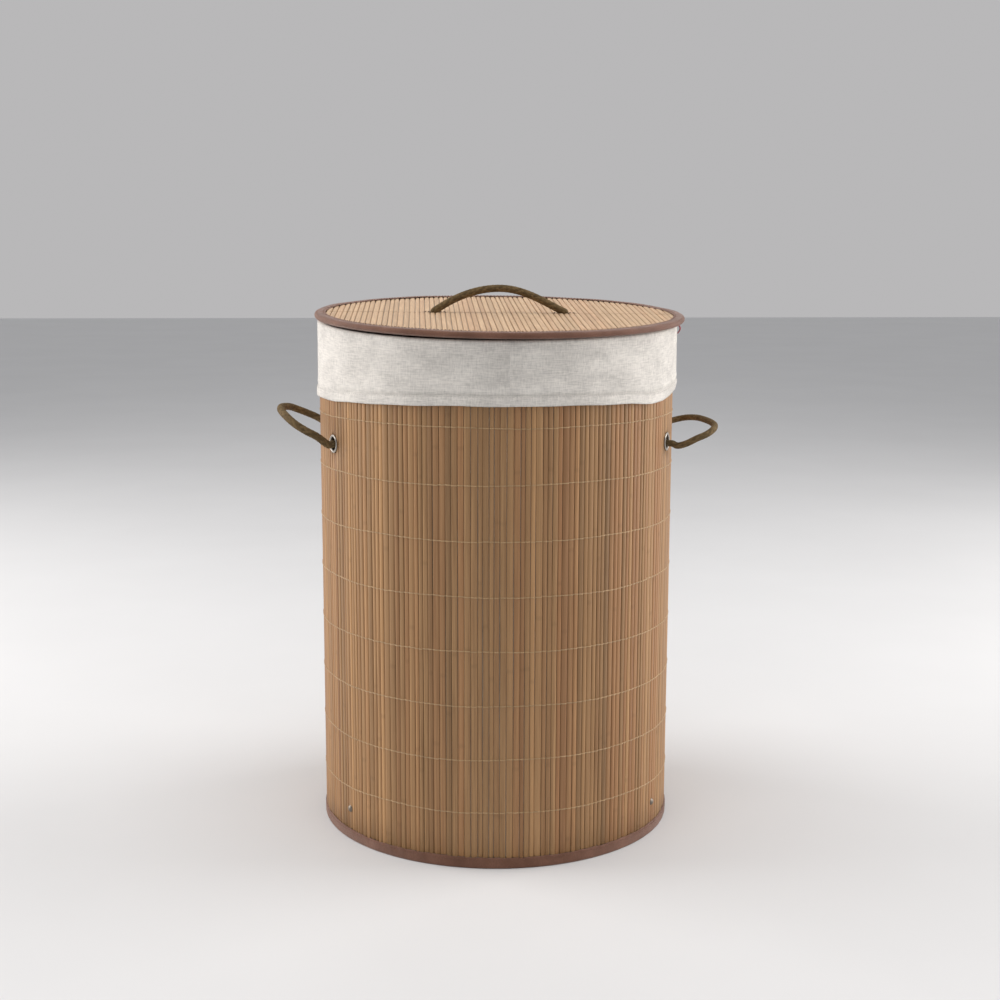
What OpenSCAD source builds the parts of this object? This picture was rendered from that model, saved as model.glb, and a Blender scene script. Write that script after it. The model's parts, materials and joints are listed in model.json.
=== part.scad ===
// Round laundry hamper of bamboo slats, with a lift-out cloth liner folded over its rim,
// a loose lid, two rope side handles and a rope handle on the lid.
// Millimetres. +Z is up, the front faces -Y, and z = 0 is the surface that the hamper stands on.
// Angles round the wall are counted from the front (-Y) towards the right (+X).

/* [Wall] */
// Outside diameter over the slats
body_d = 350; // [310:5:420]
// Height of the wall with its edge bindings
wall_h = 491; // [420:1:600]
// Number of slats round the wall
slat_count = 205; // [180:1:230]
// Thickness of a slat
slat_t = 2; // [1.4:0.1:2.6]
// Thickness of the cloth glued behind the slats
backing_t = 1; // [0.8:0.1:1.6]
// Height of the binding tape on the wall's edges
binding_h = 11; // [8:1:16]
// Distance between two rows of stitching thread
thread_pitch = 51.5; // [45:0.5:60]
// Height of the lowest row of stitching thread
thread_first_z = 54; // [45:1:70]

/* [Eyelets and rivets] */
// Angle of the front eyelets from the front
eyelet_angle = 66; // [60:1:72]
// Distance from the wall's top down to the eyelets' centres
eyelet_drop = 103; // [90:1:160]
// Outside diameter of an eyelet's flange
eyelet_d = 17.8; // [17:0.2:22]
// Bore of an eyelet
eyelet_bore = 13; // [11:0.2:14]
// Angle of the front base clips from the front
clip_angle = 58; // [45:1:60]
// Height of the rivets
rivet_z = 31; // [28:1:40]
// Diameter of a rivet's domed head
rivet_head_d = 6.8; // [5:0.2:8]
// Angle of the wall's sewn seam
seam_angle = 79; // [76:1:84]

/* [Liner] */
// How far the liner's cuff hangs down outside the wall
cuff_h = 59; // [40:1:80]
// Thickness of the liner cloth where it is doubled
cloth_t = 1.1; // [0.8:0.1:1.6]
// Height of the cuff's hem
hem_h = 9.5; // [6:0.5:14]

/* [Lid] */
// How far the lid's edge reaches past the wall's slats
lid_overhang = 7.3; // [5:0.1:12]
// Thickness of the lid's rounded edge
lid_t = 6; // [5:0.5:9]
// Width of the lid's binding, seen from above
lid_binding_w = 11; // [8:1:16]
// Number of slats across the lid
lid_slat_count = 69; // [60:1:80]
// Tilt of the resting lid, back up
lid_tilt = 2.8; // [0:0.1:3.5]
// Tilt of the resting lid, right side down
lid_roll = 0.35; // [0:0.05:1]
// Turn of the resting lid, anticlockwise from above
lid_spin = -2; // [-4:0.5:4]
// Distance from the wall's top to the lid's underside, at the centre
lid_lift = 12; // [10:0.2:16]

/* [Handles] */
// Diameter of the braided rope
rope_d = 8; // [6:0.2:10]
// Distance between the lid handle's two holes
lid_handle_w = 128; // [100:2:150]
// Rise of the lid handle's arch above its pivots
lid_handle_rise = 20.6; // [14:0.2:40]

/* [Hidden] */
$fn = 96;

gap = 0.3;          // clearance between parts of different bodies
skin = 0.6;         // thickness of the edge binding tape
hair = 0.05;        // clearance between curved and flat faces of one body

// Wall, from the outside to the inside
wall_r = body_d / 2;
backing_out_r = wall_r - slat_t - hair;
backing_in_r = backing_out_r - backing_t;
binding_in_r = backing_in_r - skin;
hoop_d = 3;
hoop_r = (wall_r + backing_in_r) / 2;
edge_t = 1;         // binding tape folded under the edge
slat_z0 = edge_t + hoop_d + 0.4;
slat_z1 = wall_h - slat_z0;
slat_pitch_deg = 360 / slat_count;
slat_w = 2 * (wall_r - slat_t) * tan(slat_pitch_deg / 2) - 0.12;
slat_bevel = 0.55;
thread_t = 0.6;
thread_w = 1.2;
thread_rows = floor((slat_z1 - binding_h - thread_first_z) / thread_pitch) + 1;

// Eyelets, and the rope ends that pass through them
eyelet_z = wall_h - eyelet_drop;
eyelet_flange_t = 1.2;
eyelet_barrel_d = eyelet_bore + 1.2;
eyelet_angles = [eyelet_angle, 180 - eyelet_angle, -eyelet_angle, eyelet_angle - 180];
washer_t = 1;
washer_out_r = sqrt(pow(backing_in_r, 2) - pow(eyelet_d / 2, 2)) - hair;
washer_in_r = washer_out_r - washer_t;
pivot_r = wall_r + eyelet_flange_t + rope_d / 2 + 0.8;
pivot_x = pivot_r * sin(eyelet_angle);
pivot_y = pivot_r * cos(eyelet_angle);
rope_z = eyelet_z - (eyelet_bore - rope_d) / 2 + 0.7;
knot_d = 17;
stub_back = 3.7;    // how far behind its pivot a rope end stops

// Base clips, rivets and base panel
clip_w = 16;
clip_t = 1.5;
clip_foot = 25;
clip_h = 30;
clip_z = 12;
clip_out_r = sqrt(pow(backing_in_r, 2) - pow(clip_w / 2, 2)) - hair;
clip_in_r = clip_out_r - clip_t;
clip_angles = [clip_angle, 180 - clip_angle, -clip_angle, clip_angle - 180];
rivet_shank_d = 4;
rivet_head_h = 1.9;
rivet_tail_d = 6;
rivet_tail_t = 1.2;
rivet_washer_d = 9;
rivet_washer_t = 0.8;
seam_w_deg = 8;
tape_in_r = backing_in_r - 0.9;
base_t = 4;
base_r = clip_in_r - 0.6;
base_z = clip_z + clip_t;
base_binding_w = 9;

// Liner
bag_top_r = binding_in_r - gap - 0.1;
bag_low_r = washer_in_r - knot_d - 1.5;
liner_z0 = base_z + base_t + 2 * skin + gap;
liner_z1 = wall_h + gap;
bag_neck_z = eyelet_z + knot_d / 2 + 8;
bag_shoulder_z = wall_h - binding_h - 4;
cuff_in_r = wall_r + 2 * hair + skin + gap;
cuff_out_r = cuff_in_r + cloth_t;
cuff_z = wall_h - cuff_h;
hem_t = 0.6;

// Lid, in its own frame: origin at the centre of its underside
lid_x = 3;
lid_z = wall_h + lid_lift;
lid_r = wall_r + lid_overhang;
lid_skin = 0.8;
lid_hoop_d = lid_t - 2 * lid_skin - 1;
lid_hoop_r = lid_r - lid_t / 2;
lid_panel_r = lid_hoop_r - lid_hoop_d / 2 - 0.4;
lid_slat_t = 2.2;
lid_slat_top = lid_t - lid_skin - hair;
lid_slat_z = lid_slat_top - lid_slat_t;
lid_slat_pitch = 2 * lid_panel_r / lid_slat_count;
lid_backing_z = lid_slat_z - 1.1;
lid_pivot_z = lid_slat_top + rope_d / 2 + 0.6;
lid_rope_hole_d = rope_d + 0.4;
tail_angle = -19;
tail_w = 3;
tail_h = 7.5;

// Routes of the side ropes from the front pivot to the rear one: outwards, along Y in halves of
// the pivots' distance, upwards
left_route = [
    [0, -1, 0], [10, -1.06, 9.6], [20, -1.06, 15], [30, -1.02, 21], [38, -0.87, 26.2],
    [45, -0.5, 28.8], [48.5, -0.05, 28.2], [48.5, 0.35, 26.5], [43.5, 0.78, 23],
    [37, 0.97, 19], [28, 1.07, 14.5], [18, 1.08, 10], [8, 1.05, 4.5], [0, 1, 0]
];
right_route = [
    [0, -1, 0], [5, -1.03, -1.8], [13, -1.06, 0.6], [23, -1.07, 5.5], [33, -1.02, 9],
    [42, -0.84, 12], [48.5, -0.5, 12.8], [51, -0.1, 12.2], [51, 0.3, 11.2], [48.5, 0.68, 10],
    [43, 0.93, 8.2], [36, 1.06, 6], [24, 1.08, 3], [10, 1.05, 0.8], [0, 1, 0]
];
rope_sides = 10;
cap_rings = 4;
bamboo = [0.72, 0.55, 0.39];
pale_bamboo = [0.82, 0.69, 0.56];
tape = [0.46, 0.34, 0.30];
linen = [0.93, 0.92, 0.88];
rope = [0.35, 0.30, 0.23];
steel = [0.72, 0.72, 0.70];

// ---- Helpers ----

// Puts children, drawn along +X from the middle, at an angle round the wall.
module at_angle(a) {
    rotate([0, 0, a - 90])
        children();
}

// A round bar along X, from x0 to x1.
module bar_x(d, x0, x1) {
    translate([x0, 0, 0])
        rotate([0, 90, 0])
            cylinder(d = d, h = x1 - x0);
}

// A ring of rectangular section.
module band(r0, r1, z0, z1) {
    rotate_extrude()
        translate([r0, z0])
            square([r1 - r0, z1 - z0]);
}

// A ring of round wire.
module wire_ring(r, d, z) {
    rotate_extrude()
        translate([r, z])
            circle(d = d);
}

// The holes that eyelets and rivets make in the wall, within some degrees of an angle.
module wall_holes(a, near_deg) {
    for (e = eyelet_angles)
        if (abs(e - a) < near_deg || abs(e + 360 - a) < near_deg)
            at_angle(e)
                translate([0, 0, eyelet_z])
                    bar_x(eyelet_barrel_d + 2 * hair, tape_in_r - 5, wall_r + 5);
    for (e = clip_angles)
        if (abs(e - a) < near_deg || abs(e + 360 - a) < near_deg)
            at_angle(e)
                translate([0, 0, rivet_z])
                    bar_x(rivet_shank_d + 2 * hair, tape_in_r - 5, wall_r + 5);
}

module all_wall_holes() {
    wall_holes(0, 360);
}

// Puts children drawn in the lid's frame where the lid rests.
module on_lid() {
    translate([lid_x, 0, lid_z])
        rotate([lid_tilt, lid_roll, 0])
            rotate([0, 0, lid_spin])
                children();
}

// ---- Rope sweep ----

function unit(v) = v / norm(v);

// Catmull-Rom point between b and c.
function spline(a, b, c, d, t) =
    0.5 * (2 * b + (c - a) * t + (2 * a - 5 * b + 4 * c - d) * t * t
        + (3 * b - a - 3 * c + d) * t * t * t);

// A smooth line through every point of a route, with some steps between two points.
function smooth(p, steps) = let (n = len(p) - 1) [
    for (i = [0 : n - 1], k = [0 : steps - 1])
        spline(
            i == 0 ? 2 * p[0] - p[1] : p[i - 1], p[i], p[i + 1],
            i == n - 1 ? 2 * p[n] - p[n - 1] : p[i + 2], k / steps
        ),
    p[n]
];

function tangent(p, i) = unit(p[min(i + 1, len(p) - 1)] - p[max(i - 1, 0)]);

// One ring of points round a place on the route.
function ring(c, t, up, r) = let (u = unit(cross(t, up)), v = cross(u, t)) [
    for (k = [0 : rope_sides - 1])
        let (a = 360 * k / rope_sides) c + r * (cos(a) * u + sin(a) * v)
];

// A rope of round section along a route, with half-ball ends centred on its two end points.
module rope_sweep(path, r, up) {
    n = len(path) - 1;
    rings = concat(
        [for (k = [1 : cap_rings])
            let (a = 90 * k / (cap_rings + 0.5) - 90, t = tangent(path, 0))
                ring(path[0] + r * sin(a) * t, t, up, r * cos(a))],
        [for (i = [0 : n]) ring(path[i], tangent(path, i), up, r)],
        [for (k = [cap_rings : -1 : 1])
            let (a = 90 - 90 * k / (cap_rings + 0.5), t = tangent(path, n))
                ring(path[n] + r * sin(a) * t, t, up, r * cos(a))]
    );
    m = len(rings);
    s = rope_sides;
    sides = [
        for (i = [0 : m - 2], k = [0 : s - 1], half = [0, 1])
            let (a = i * s + k, b = i * s + (k + 1) % s)
                half == 0 ? [a, b, b + s] : [a, b + s, a + s]
    ];
    polyhedron(
        points = [for (one = rings, q = one) q],
        faces = concat(
            [[for (k = [s - 1 : -1 : 0]) k]],
            sides,
            [[for (k = [0 : s - 1]) (m - 1) * s + k]]
        )
    );
}

// A side rope's route in the hamper's frame; side is 1 on the right and -1 on the left.
function side_path(route, side, z) = [
    for (p = smooth(route, 3)) [side * (pivot_x + p[0]), p[1] * pivot_y, z + p[2]]
];

// ---- Wall ----

module slat(a) {
    w = slat_w / 2;
    at_angle(a)
        translate([0, 0, slat_z0])
            linear_extrude(slat_z1 - slat_z0)
                polygon([
                    [wall_r - slat_t, -w], [wall_r - slat_bevel, -w], [wall_r, -w + slat_bevel],
                    [wall_r, w - slat_bevel], [wall_r - slat_bevel, w], [wall_r - slat_t, w]
                ]);
}

module wall_slats() {
    color(bamboo)
        for (i = [0 : slat_count - 1])
            let (a = -180 + (i + 0.5) * slat_pitch_deg)
                difference() {
                    slat(a);
                    wall_holes(a, 5);
                }
}

module wall_backing() {
    color(linen)
        difference() {
            band(backing_in_r, backing_out_r, slat_z0, slat_z1);
            all_wall_holes();
        }
}

// A thread row stops at each side of an eyelet that stands on it.
module wall_threads() {
    color([0.85, 0.78, 0.58])
        for (i = [0 : thread_rows - 1])
            let (z = thread_first_z + i * thread_pitch)
                difference() {
                    band(wall_r + hair, wall_r + hair + thread_t, z - thread_w / 2, z + thread_w / 2);
                    if (abs(z - eyelet_z) < eyelet_d / 2 + thread_w)
                        for (a = eyelet_angles)
                            at_angle(a)
                                translate([0, 0, eyelet_z])
                                    bar_x(eyelet_d + 1, wall_r - 5, wall_r + 5);
                }
}

module top_hoop() {
    color(steel)
        wire_ring(hoop_r, hoop_d, wall_h - edge_t - hoop_d / 2 - hair);
}

module bottom_hoop() {
    color(steel)
        wire_ring(hoop_r, hoop_d, edge_t + hoop_d / 2 + hair);
}

// Tape folded round the wall's edge; z0 is the edge and up is 1 for the bottom edge, -1 for the top.
module edge_binding(z0, up, outer_skin) {
    r1 = wall_r + hair;
    translate([0, 0, z0])
        mirror([0, 0, up == 1 ? 0 : 1])
            rotate_extrude()
                difference() {
                    translate([binding_in_r, 0])
                        square([r1 + outer_skin - binding_in_r, binding_h]);
                    translate([backing_in_r, edge_t])
                        square([r1 - backing_in_r, binding_h]);
                }
}

module top_binding() {
    color(tape)
        edge_binding(wall_h, -1, skin);
}

module bottom_binding() {
    color(tape)
        edge_binding(0, 1, 1);
}

module seam_tape() {
    color(linen)
        difference() {
            rotate([0, 0, seam_angle - 90 - seam_w_deg / 2])
                rotate_extrude(angle = seam_w_deg)
                    translate([tape_in_r, binding_h + 1])
                        square([backing_in_r - tape_in_r, wall_h - 2 * binding_h - 2]);
            all_wall_holes();
        }
}

// ---- Eyelets and rope ends ----

module eyelets() {
    color(steel)
        for (a = eyelet_angles)
            at_angle(a)
                translate([0, 0, eyelet_z])
                    rotate([0, 90, 0])
                        rotate_extrude()
                            difference() {
                                union() {
                                    translate([eyelet_bore / 2, washer_in_r - 0.6])
                                        square([0.6, wall_r + 1 - washer_in_r]);
                                    translate([eyelet_bore / 2, wall_r + hair])
                                        square([eyelet_d / 2 - eyelet_bore / 2, eyelet_flange_t]);
                                }
                                translate([eyelet_d / 2, wall_r + hair + eyelet_flange_t])
                                    rotate(45)
                                        square(1.2, center = true);
                            }
}

module eyelet_washers() {
    color(steel)
        for (a = eyelet_angles)
            at_angle(a)
                translate([0, 0, eyelet_z])
                    difference() {
                        bar_x(eyelet_d, washer_in_r, washer_out_r);
                        bar_x(eyelet_barrel_d + 2 * hair, washer_in_r - 1, washer_out_r + 1);
                    }
}

// The two knotted ends of one side rope, which stay in the eyelets.
module side_rope_ends(side, z) {
    color(rope)
        for (a = [side * eyelet_angle, side * (180 - eyelet_angle)])
            at_angle(a)
                translate([0, 0, z])
                    difference() {
                        union() {
                            bar_x(rope_d, washer_in_r - knot_d / 2 - 1, pivot_r - stub_back);
                            translate([washer_in_r - knot_d / 2 - 0.8, 0, 0])
                                sphere(d = knot_d);
                        }
                        translate([pivot_r, 0, 0])
                            sphere(r = rope_d / 2 + gap);
                    }
}

module left_handle_ends() {
    side_rope_ends(-1, rope_z);
}

module right_handle_ends() {
    side_rope_ends(1, rope_z);
}

// ---- Base ----

// A clip is an angle of sheet steel: one leg on the wall, one foot under the base board.
module base_clips() {
    color(steel)
        for (a = clip_angles)
            at_angle(a)
                difference() {
                    union() {
                        translate([clip_in_r, -clip_w / 2, clip_z])
                            cube([clip_t, clip_w, clip_h]);
                        translate([clip_in_r - clip_foot, -clip_w / 2, clip_z])
                            cube([clip_foot + clip_t / 2, clip_w, clip_t]);
                    }
                    translate([0, 0, rivet_z])
                        bar_x(rivet_shank_d + 2 * hair, clip_in_r - 5, wall_r);
                }
}

// A rivet with a domed head outside and a flat tail inside.
module rivet(a, inner_r) {
    head_r = rivet_head_d / 2;
    dome_r = (pow(head_r, 2) + pow(rivet_head_h, 2)) / (2 * rivet_head_h);
    head_z = wall_r + hair;
    at_angle(a)
        translate([0, 0, rivet_z])
            rotate([0, 90, 0])
                rotate_extrude() {
                    translate([0, inner_r - rivet_tail_t])
                        square([rivet_tail_d / 2, rivet_tail_t]);
                    translate([0, inner_r - rivet_tail_t])
                        square([rivet_shank_d / 2, head_z + 0.2 - inner_r + rivet_tail_t]);
                    intersection() {
                        translate([0, head_z])
                            square([head_r, rivet_head_h + 1]);
                        translate([0, head_z + rivet_head_h - dome_r])
                            circle(r = dome_r);
                    }
                }
}

module rivets() {
    color(steel)
        for (a = clip_angles)
            rivet(a, clip_in_r - rivet_washer_t);
}

module rivet_washer(a, r1) {
    at_angle(a)
        translate([0, 0, rivet_z])
            difference() {
                bar_x(rivet_washer_d, r1 - rivet_washer_t, r1);
                bar_x(rivet_shank_d + 2 * hair, r1 - 5, r1 + 5);
            }
}

module rivet_washers() {
    color(steel)
        for (a = clip_angles)
            rivet_washer(a, clip_in_r);
}

module base_board() {
    color([0.6, 0.5, 0.4])
        translate([0, 0, base_z + skin])
            cylinder(r = base_r - skin, h = base_t);
}

module base_binding() {
    color(tape)
        rotate_extrude()
            difference() {
                translate([base_r - base_binding_w, base_z])
                    square([base_binding_w, base_t + 2 * skin]);
                translate([base_r - base_binding_w - 1, base_z + skin])
                    square([base_binding_w + 1 - skin, base_t]);
            }
}

// ---- Liner ----

module liner_wall() {
    color(linen)
        rotate_extrude()
            polygon([
                [bag_low_r, liner_z0 + cloth_t], [bag_low_r, bag_neck_z],
                [bag_top_r, bag_shoulder_z], [bag_top_r, liner_z1],
                [bag_top_r - cloth_t, liner_z1], [bag_top_r - cloth_t, bag_shoulder_z],
                [bag_low_r - cloth_t, bag_neck_z], [bag_low_r - cloth_t, liner_z0 + cloth_t]
            ]);
}

module liner_base() {
    color(linen)
        translate([0, 0, liner_z0])
            cylinder(r = bag_low_r, h = cloth_t);
}

// The liner's roll over the rim stands higher at the back, and the lid rests on it.
module liner_fold() {
    color(linen)
        difference() {
            band(bag_top_r - cloth_t, cuff_out_r, liner_z1, wall_h + 2 * lid_lift + 20);
            on_lid()
                translate([-2 * lid_r, -2 * lid_r, -gap])
                    cube([4 * lid_r, 4 * lid_r, 100]);
        }
}

module liner_cuff() {
    color(linen)
        band(cuff_in_r, cuff_out_r, cuff_z, liner_z1);
}

module liner_hem() {
    color(linen)
        band(cuff_out_r, cuff_out_r + hem_t, cuff_z, cuff_z + hem_h);
}

// ---- Lid ----

module lid_rope_holes() {
    for (side = [-1, 1])
        translate([side * lid_handle_w / 2, 0, -5])
            cylinder(d = lid_rope_hole_d, h = lid_t + 10);
}

module lid_slats() {
    color(pale_bamboo)
        on_lid()
            for (i = [0 : lid_slat_count - 1])
                let (x = -lid_panel_r + i * lid_slat_pitch)
                    difference() {
                        intersection() {
                            translate([x + 0.1, -lid_panel_r, lid_slat_z])
                                cube([lid_slat_pitch - 0.2, 2 * lid_panel_r, lid_slat_t]);
                            translate([0, 0, lid_slat_z - 1])
                                cylinder(r = lid_panel_r, h = lid_slat_t + 2);
                        }
                        if (abs(abs(x + lid_slat_pitch / 2) - lid_handle_w / 2) < rope_d + 1)
                            lid_rope_holes();
                    }
}

module lid_backing() {
    color(linen)
        on_lid()
            difference() {
                translate([0, 0, lid_backing_z])
                    cylinder(r = lid_panel_r, h = 1);
                lid_rope_holes();
            }
}

// One row of stitching across the slats, in line with the handle's ends.
module lid_thread() {
    color([0.3, 0.22, 0.18])
        on_lid() {
            inner = lid_handle_w / 2 - lid_rope_hole_d / 2 - 0.2;
            outer = lid_r - lid_binding_w - 0.3;
            for (span = [[-outer, -inner - lid_rope_hole_d - 0.4], [-inner, inner],
                         [inner + lid_rope_hole_d + 0.4, outer]])
                translate([span[0], -0.4, lid_slat_top + 0.02])
                    cube([span[1] - span[0], 0.8, 0.4]);
        }
}

module lid_hoop() {
    color(steel)
        on_lid()
            wire_ring(lid_hoop_r, lid_hoop_d, lid_t / 2);
}

module lid_binding() {
    color(tape)
        on_lid()
            rotate_extrude()
                difference() {
                    union() {
                        translate([lid_r - lid_binding_w, 0])
                            square([lid_binding_w - lid_t / 2, lid_t]);
                        translate([lid_r - lid_t / 2, lid_t / 2])
                            circle(d = lid_t);
                    }
                    translate([lid_r - lid_binding_w - 1, lid_skin])
                        square([lid_binding_w + 1 - lid_t / 2, lid_t - 2 * lid_skin]);
                    translate([lid_r - lid_t / 2, lid_t / 2])
                        circle(d = lid_t - 2 * lid_skin);
                }
}

// The loose end of the binding tape, which hangs under the lid's right edge.
module lid_binding_tail() {
    color(tape)
        on_lid()
            rotate([0, 0, tail_angle])
                translate([cuff_out_r + 2.5, -tail_w / 2, -tail_h])
                    cube([lid_skin, tail_w, tail_h]);
}

// The lid rope's two ends, knotted under the lid.
module lid_handle_ends() {
    knot_z = lid_backing_z - knot_d / 2 - hair;
    color(rope)
        on_lid()
            for (side = [-1, 1])
                translate([side * lid_handle_w / 2, 0, 0])
                    difference() {
                        union() {
                            translate([0, 0, knot_z])
                                cylinder(d = rope_d, h = lid_pivot_z - stub_back - knot_z);
                            translate([0, 0, knot_z])
                                sphere(d = knot_d);
                        }
                        translate([0, 0, lid_pivot_z])
                            sphere(r = rope_d / 2 + gap);
                    }
}

// ---- Ropes that swing ----

module left_handle_rope() {
    color(rope)
        rope_sweep(side_path(left_route, -1, rope_z), rope_d / 2, [0, 0, 1]);
}

module right_handle_rope() {
    color(rope)
        rope_sweep(side_path(right_route, 1, rope_z), rope_d / 2, [0, 0, 1]);
}

// The lid's rope is a parabola between its two pivots.
module lid_handle_rope() {
    steps = 26;
    color(rope)
        on_lid()
            rope_sweep(
                [for (i = [0 : steps])
                    [
                        -lid_handle_w / 2 * cos(180 * i / steps), 0,
                        lid_pivot_z + lid_handle_rise * pow(sin(180 * i / steps), 2)
                    ]],
                rope_d / 2, [0, 1, 0]
            );
}

wall_slats();
wall_backing();
wall_threads();
top_hoop();
bottom_hoop();
top_binding();
bottom_binding();
seam_tape();
eyelets();
eyelet_washers();
left_handle_ends();
right_handle_ends();
base_clips();
rivets();
rivet_washers();
base_board();
base_binding();
liner_wall();
liner_base();
liner_fold();
liner_cuff();
liner_hem();
lid_slats();
lid_backing();
lid_thread();
lid_hoop();
lid_binding();
lid_binding_tail();
lid_handle_ends();
left_handle_rope();
right_handle_rope();
lid_handle_rope();
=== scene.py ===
"""Looks of a round bamboo laundry hamper with a linen liner, a loose lid and rope handles.

Every piece is a surface worked out with numpy in the hamper's own frame, in metres: +Z is up and the
front faces -Y. Angles round the wall are counted from the front towards the right (+X), so a place at
angle a and radius r is (r sin a, -r cos a).
"""

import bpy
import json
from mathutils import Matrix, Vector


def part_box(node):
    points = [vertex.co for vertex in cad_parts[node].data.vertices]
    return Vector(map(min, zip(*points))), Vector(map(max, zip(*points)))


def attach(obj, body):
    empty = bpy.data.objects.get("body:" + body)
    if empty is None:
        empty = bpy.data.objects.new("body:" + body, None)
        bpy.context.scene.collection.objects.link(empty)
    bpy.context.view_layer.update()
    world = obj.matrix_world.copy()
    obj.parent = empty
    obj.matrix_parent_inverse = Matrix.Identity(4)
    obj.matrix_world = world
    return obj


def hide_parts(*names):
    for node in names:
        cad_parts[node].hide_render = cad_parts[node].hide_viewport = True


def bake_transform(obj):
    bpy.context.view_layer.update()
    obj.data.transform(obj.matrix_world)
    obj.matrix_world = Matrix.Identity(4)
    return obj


bl_info = {
    "name": "Bamboo laundry hamper",
    "version": (1, 0, 0),
    "blender": (4, 5, 0),
    "location": "3D View > Sidebar > Hamper",
    "description": "Builds the visible pieces of a bamboo laundry hamper round its frame",
    "category": "Add Mesh",
}

import json
import math

import bpy
import numpy as np
from bpy.props import FloatProperty, FloatVectorProperty, IntProperty, PointerProperty
from mathutils import Euler, Matrix, Vector

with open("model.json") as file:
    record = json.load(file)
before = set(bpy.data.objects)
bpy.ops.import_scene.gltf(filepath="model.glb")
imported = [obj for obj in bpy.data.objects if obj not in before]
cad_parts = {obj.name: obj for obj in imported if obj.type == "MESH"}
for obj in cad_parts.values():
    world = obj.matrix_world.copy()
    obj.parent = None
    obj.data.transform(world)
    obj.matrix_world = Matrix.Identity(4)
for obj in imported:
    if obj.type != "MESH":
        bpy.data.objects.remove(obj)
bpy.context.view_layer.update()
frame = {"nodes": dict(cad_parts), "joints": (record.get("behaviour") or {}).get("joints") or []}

MM = 0.001
TAU = 2 * math.pi


def node_box(name):
    """Lowest and highest corner of a frame node, as arrays."""
    low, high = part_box(name)
    return np.array(low), np.array(high)


# Places that the frame settles.
WALL_LOW, WALL_HIGH = node_box("wall_slats")
WALL_R = WALL_HIGH[1]
BACKING_R = node_box("wall_backing")[1][1]
RIM_Z = node_box("top_binding")[1][2]
THREAD_LOW, THREAD_HIGH = node_box("wall_threads")
TAPE_HIGH = node_box("bottom_binding")[1]
EYELET_Z = sum(corner[2] for corner in node_box("eyelets")) / 2
CUFF_LOW, CUFF_HIGH = node_box("liner_cuff")
CUFF_LOW_R = (CUFF_HIGH[1] + WALL_R + 1 * MM) / 2
BAG_LOW, BAG_HIGH = node_box("liner_base")
LID_LOW, LID_HIGH = node_box("lid_binding")


# ---- Settings ----


def length(name, text, default, high=1.0):
    """A setting in metres."""
    return FloatProperty(name=name, description=text, default=default, min=0.0, max=high,
                         precision=5, unit="LENGTH")


def angle(name, text, degrees):
    """A setting given in degrees and kept in radians."""
    return FloatProperty(name=name, description=text, default=math.radians(degrees),
                         subtype="ANGLE", unit="ROTATION")


def share(name, text, default):
    """A setting between 0 and 1."""
    return FloatProperty(name=name, description=text, default=default, min=0.0, max=1.0,
                         subtype="FACTOR")


def colour(name, text, default):
    """A colour setting, in linear red, green and blue."""
    return FloatVectorProperty(name=name, description=text, default=default, size=3, min=0.0,
                               max=1.0, subtype="COLOR")


class HamperWall(bpy.types.PropertyGroup):
    """Sizes of the slatted wall and of what is fixed to it."""
    slat_count: IntProperty(name="Slats", description="Slats round the wall", default=205, min=60)
    slat_spread: share("Slat spread", "How far the slats' widths differ from each other", 0.24)
    slat_thickness: length("Slat thickness", "Thickness of a slat", 2.0 * MM)
    slat_gap: length("Slat gap", "Gap between two slats", 0.42 * MM)
    slat_crown: length("Slat crown", "How far a slat's face falls away to its edges", 0.62 * MM)
    slat_lift: length("Slat lift", "How far slats stand in or out of line", 0.22 * MM)
    slat_bow: length("Slat bow", "How far a slat wanders sideways", 0.12 * MM)
    slat_variety: share("Slat variety", "How far the slats' tones differ", 0.26)
    thread_rows: IntProperty(name="Thread rows", description="Rows of stitching", default=9, min=1)
    thread_height: length("Thread height", "Height of a stitching thread", 1.1 * MM)
    thread_wander: length("Thread wander", "How far a row of thread wanders up and down", 0.8 * MM)
    thread_reach: length("Thread reach", "Half the thickness of a thread, in and out", 0.34 * MM)
    eyelet_angle: angle("Eyelet angle", "Angle of the front eyelets from the front", 66)
    eyelet_bore: length("Eyelet bore", "Diameter of the hole in an eyelet", 13 * MM)
    eyelet_diameter: length("Eyelet", "Diameter of an eyelet's rim", 17.8 * MM)
    tape_edge: length("Tape edge", "Radius of the bottom tape's outer corner", 1.1 * MM)
    tape_pucker: length("Tape pucker", "Depth of the creases in the bottom tape", 0.22 * MM)


class HamperLiner(bpy.types.PropertyGroup):
    """Sizes of the cloth liner."""
    cloth: length("Cloth", "Thickness of the doubled cloth", 0.9 * MM)
    hem_height: length("Hem height", "Height of the cuff's hem", 9.2 * MM)
    hem_swell: length("Hem swell", "How far the hem stands out", 0.75 * MM)
    ripple: length("Ripple", "Depth of the cuff's soft ripples", 0.45 * MM)
    cuff_shift: length("Cuff shift", "How far the cuff hangs over to the right", 0.8 * MM)
    cuff_arch: length("Cuff arch", "How far the cuff's edge climbs at the front", 2.3 * MM)
    cuff_droop: length("Cuff droop", "How far the cuff's edge falls towards the sides", 6.0 * MM)
    cuff_bulge: length("Cuff bulge", "How far the edge bulges down right of the front", 2.0 * MM)
    cuff_pull: length("Cuff pull", "How far the edge is pulled up at the far right", 6.8 * MM)
    edge_wave: length("Edge wave", "How far the cuff's edge wanders up and down", 0.5 * MM)
    fold_sag: length("Fold sag", "Gap between the fold and the lid's front left", 1.6 * MM)
    sag_side: angle("Sag side", "Angle of the widest gap from the front", -42)
    pleat: length("Pleat", "Depth of the folds inside the bag", 6.5 * MM)
    stitch: length("Stitch", "Length of a hem stitch", 2.3 * MM)
    weave: length("Weave", "Length of one repeat of the weave, which is two threads", 0.85 * MM)


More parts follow.
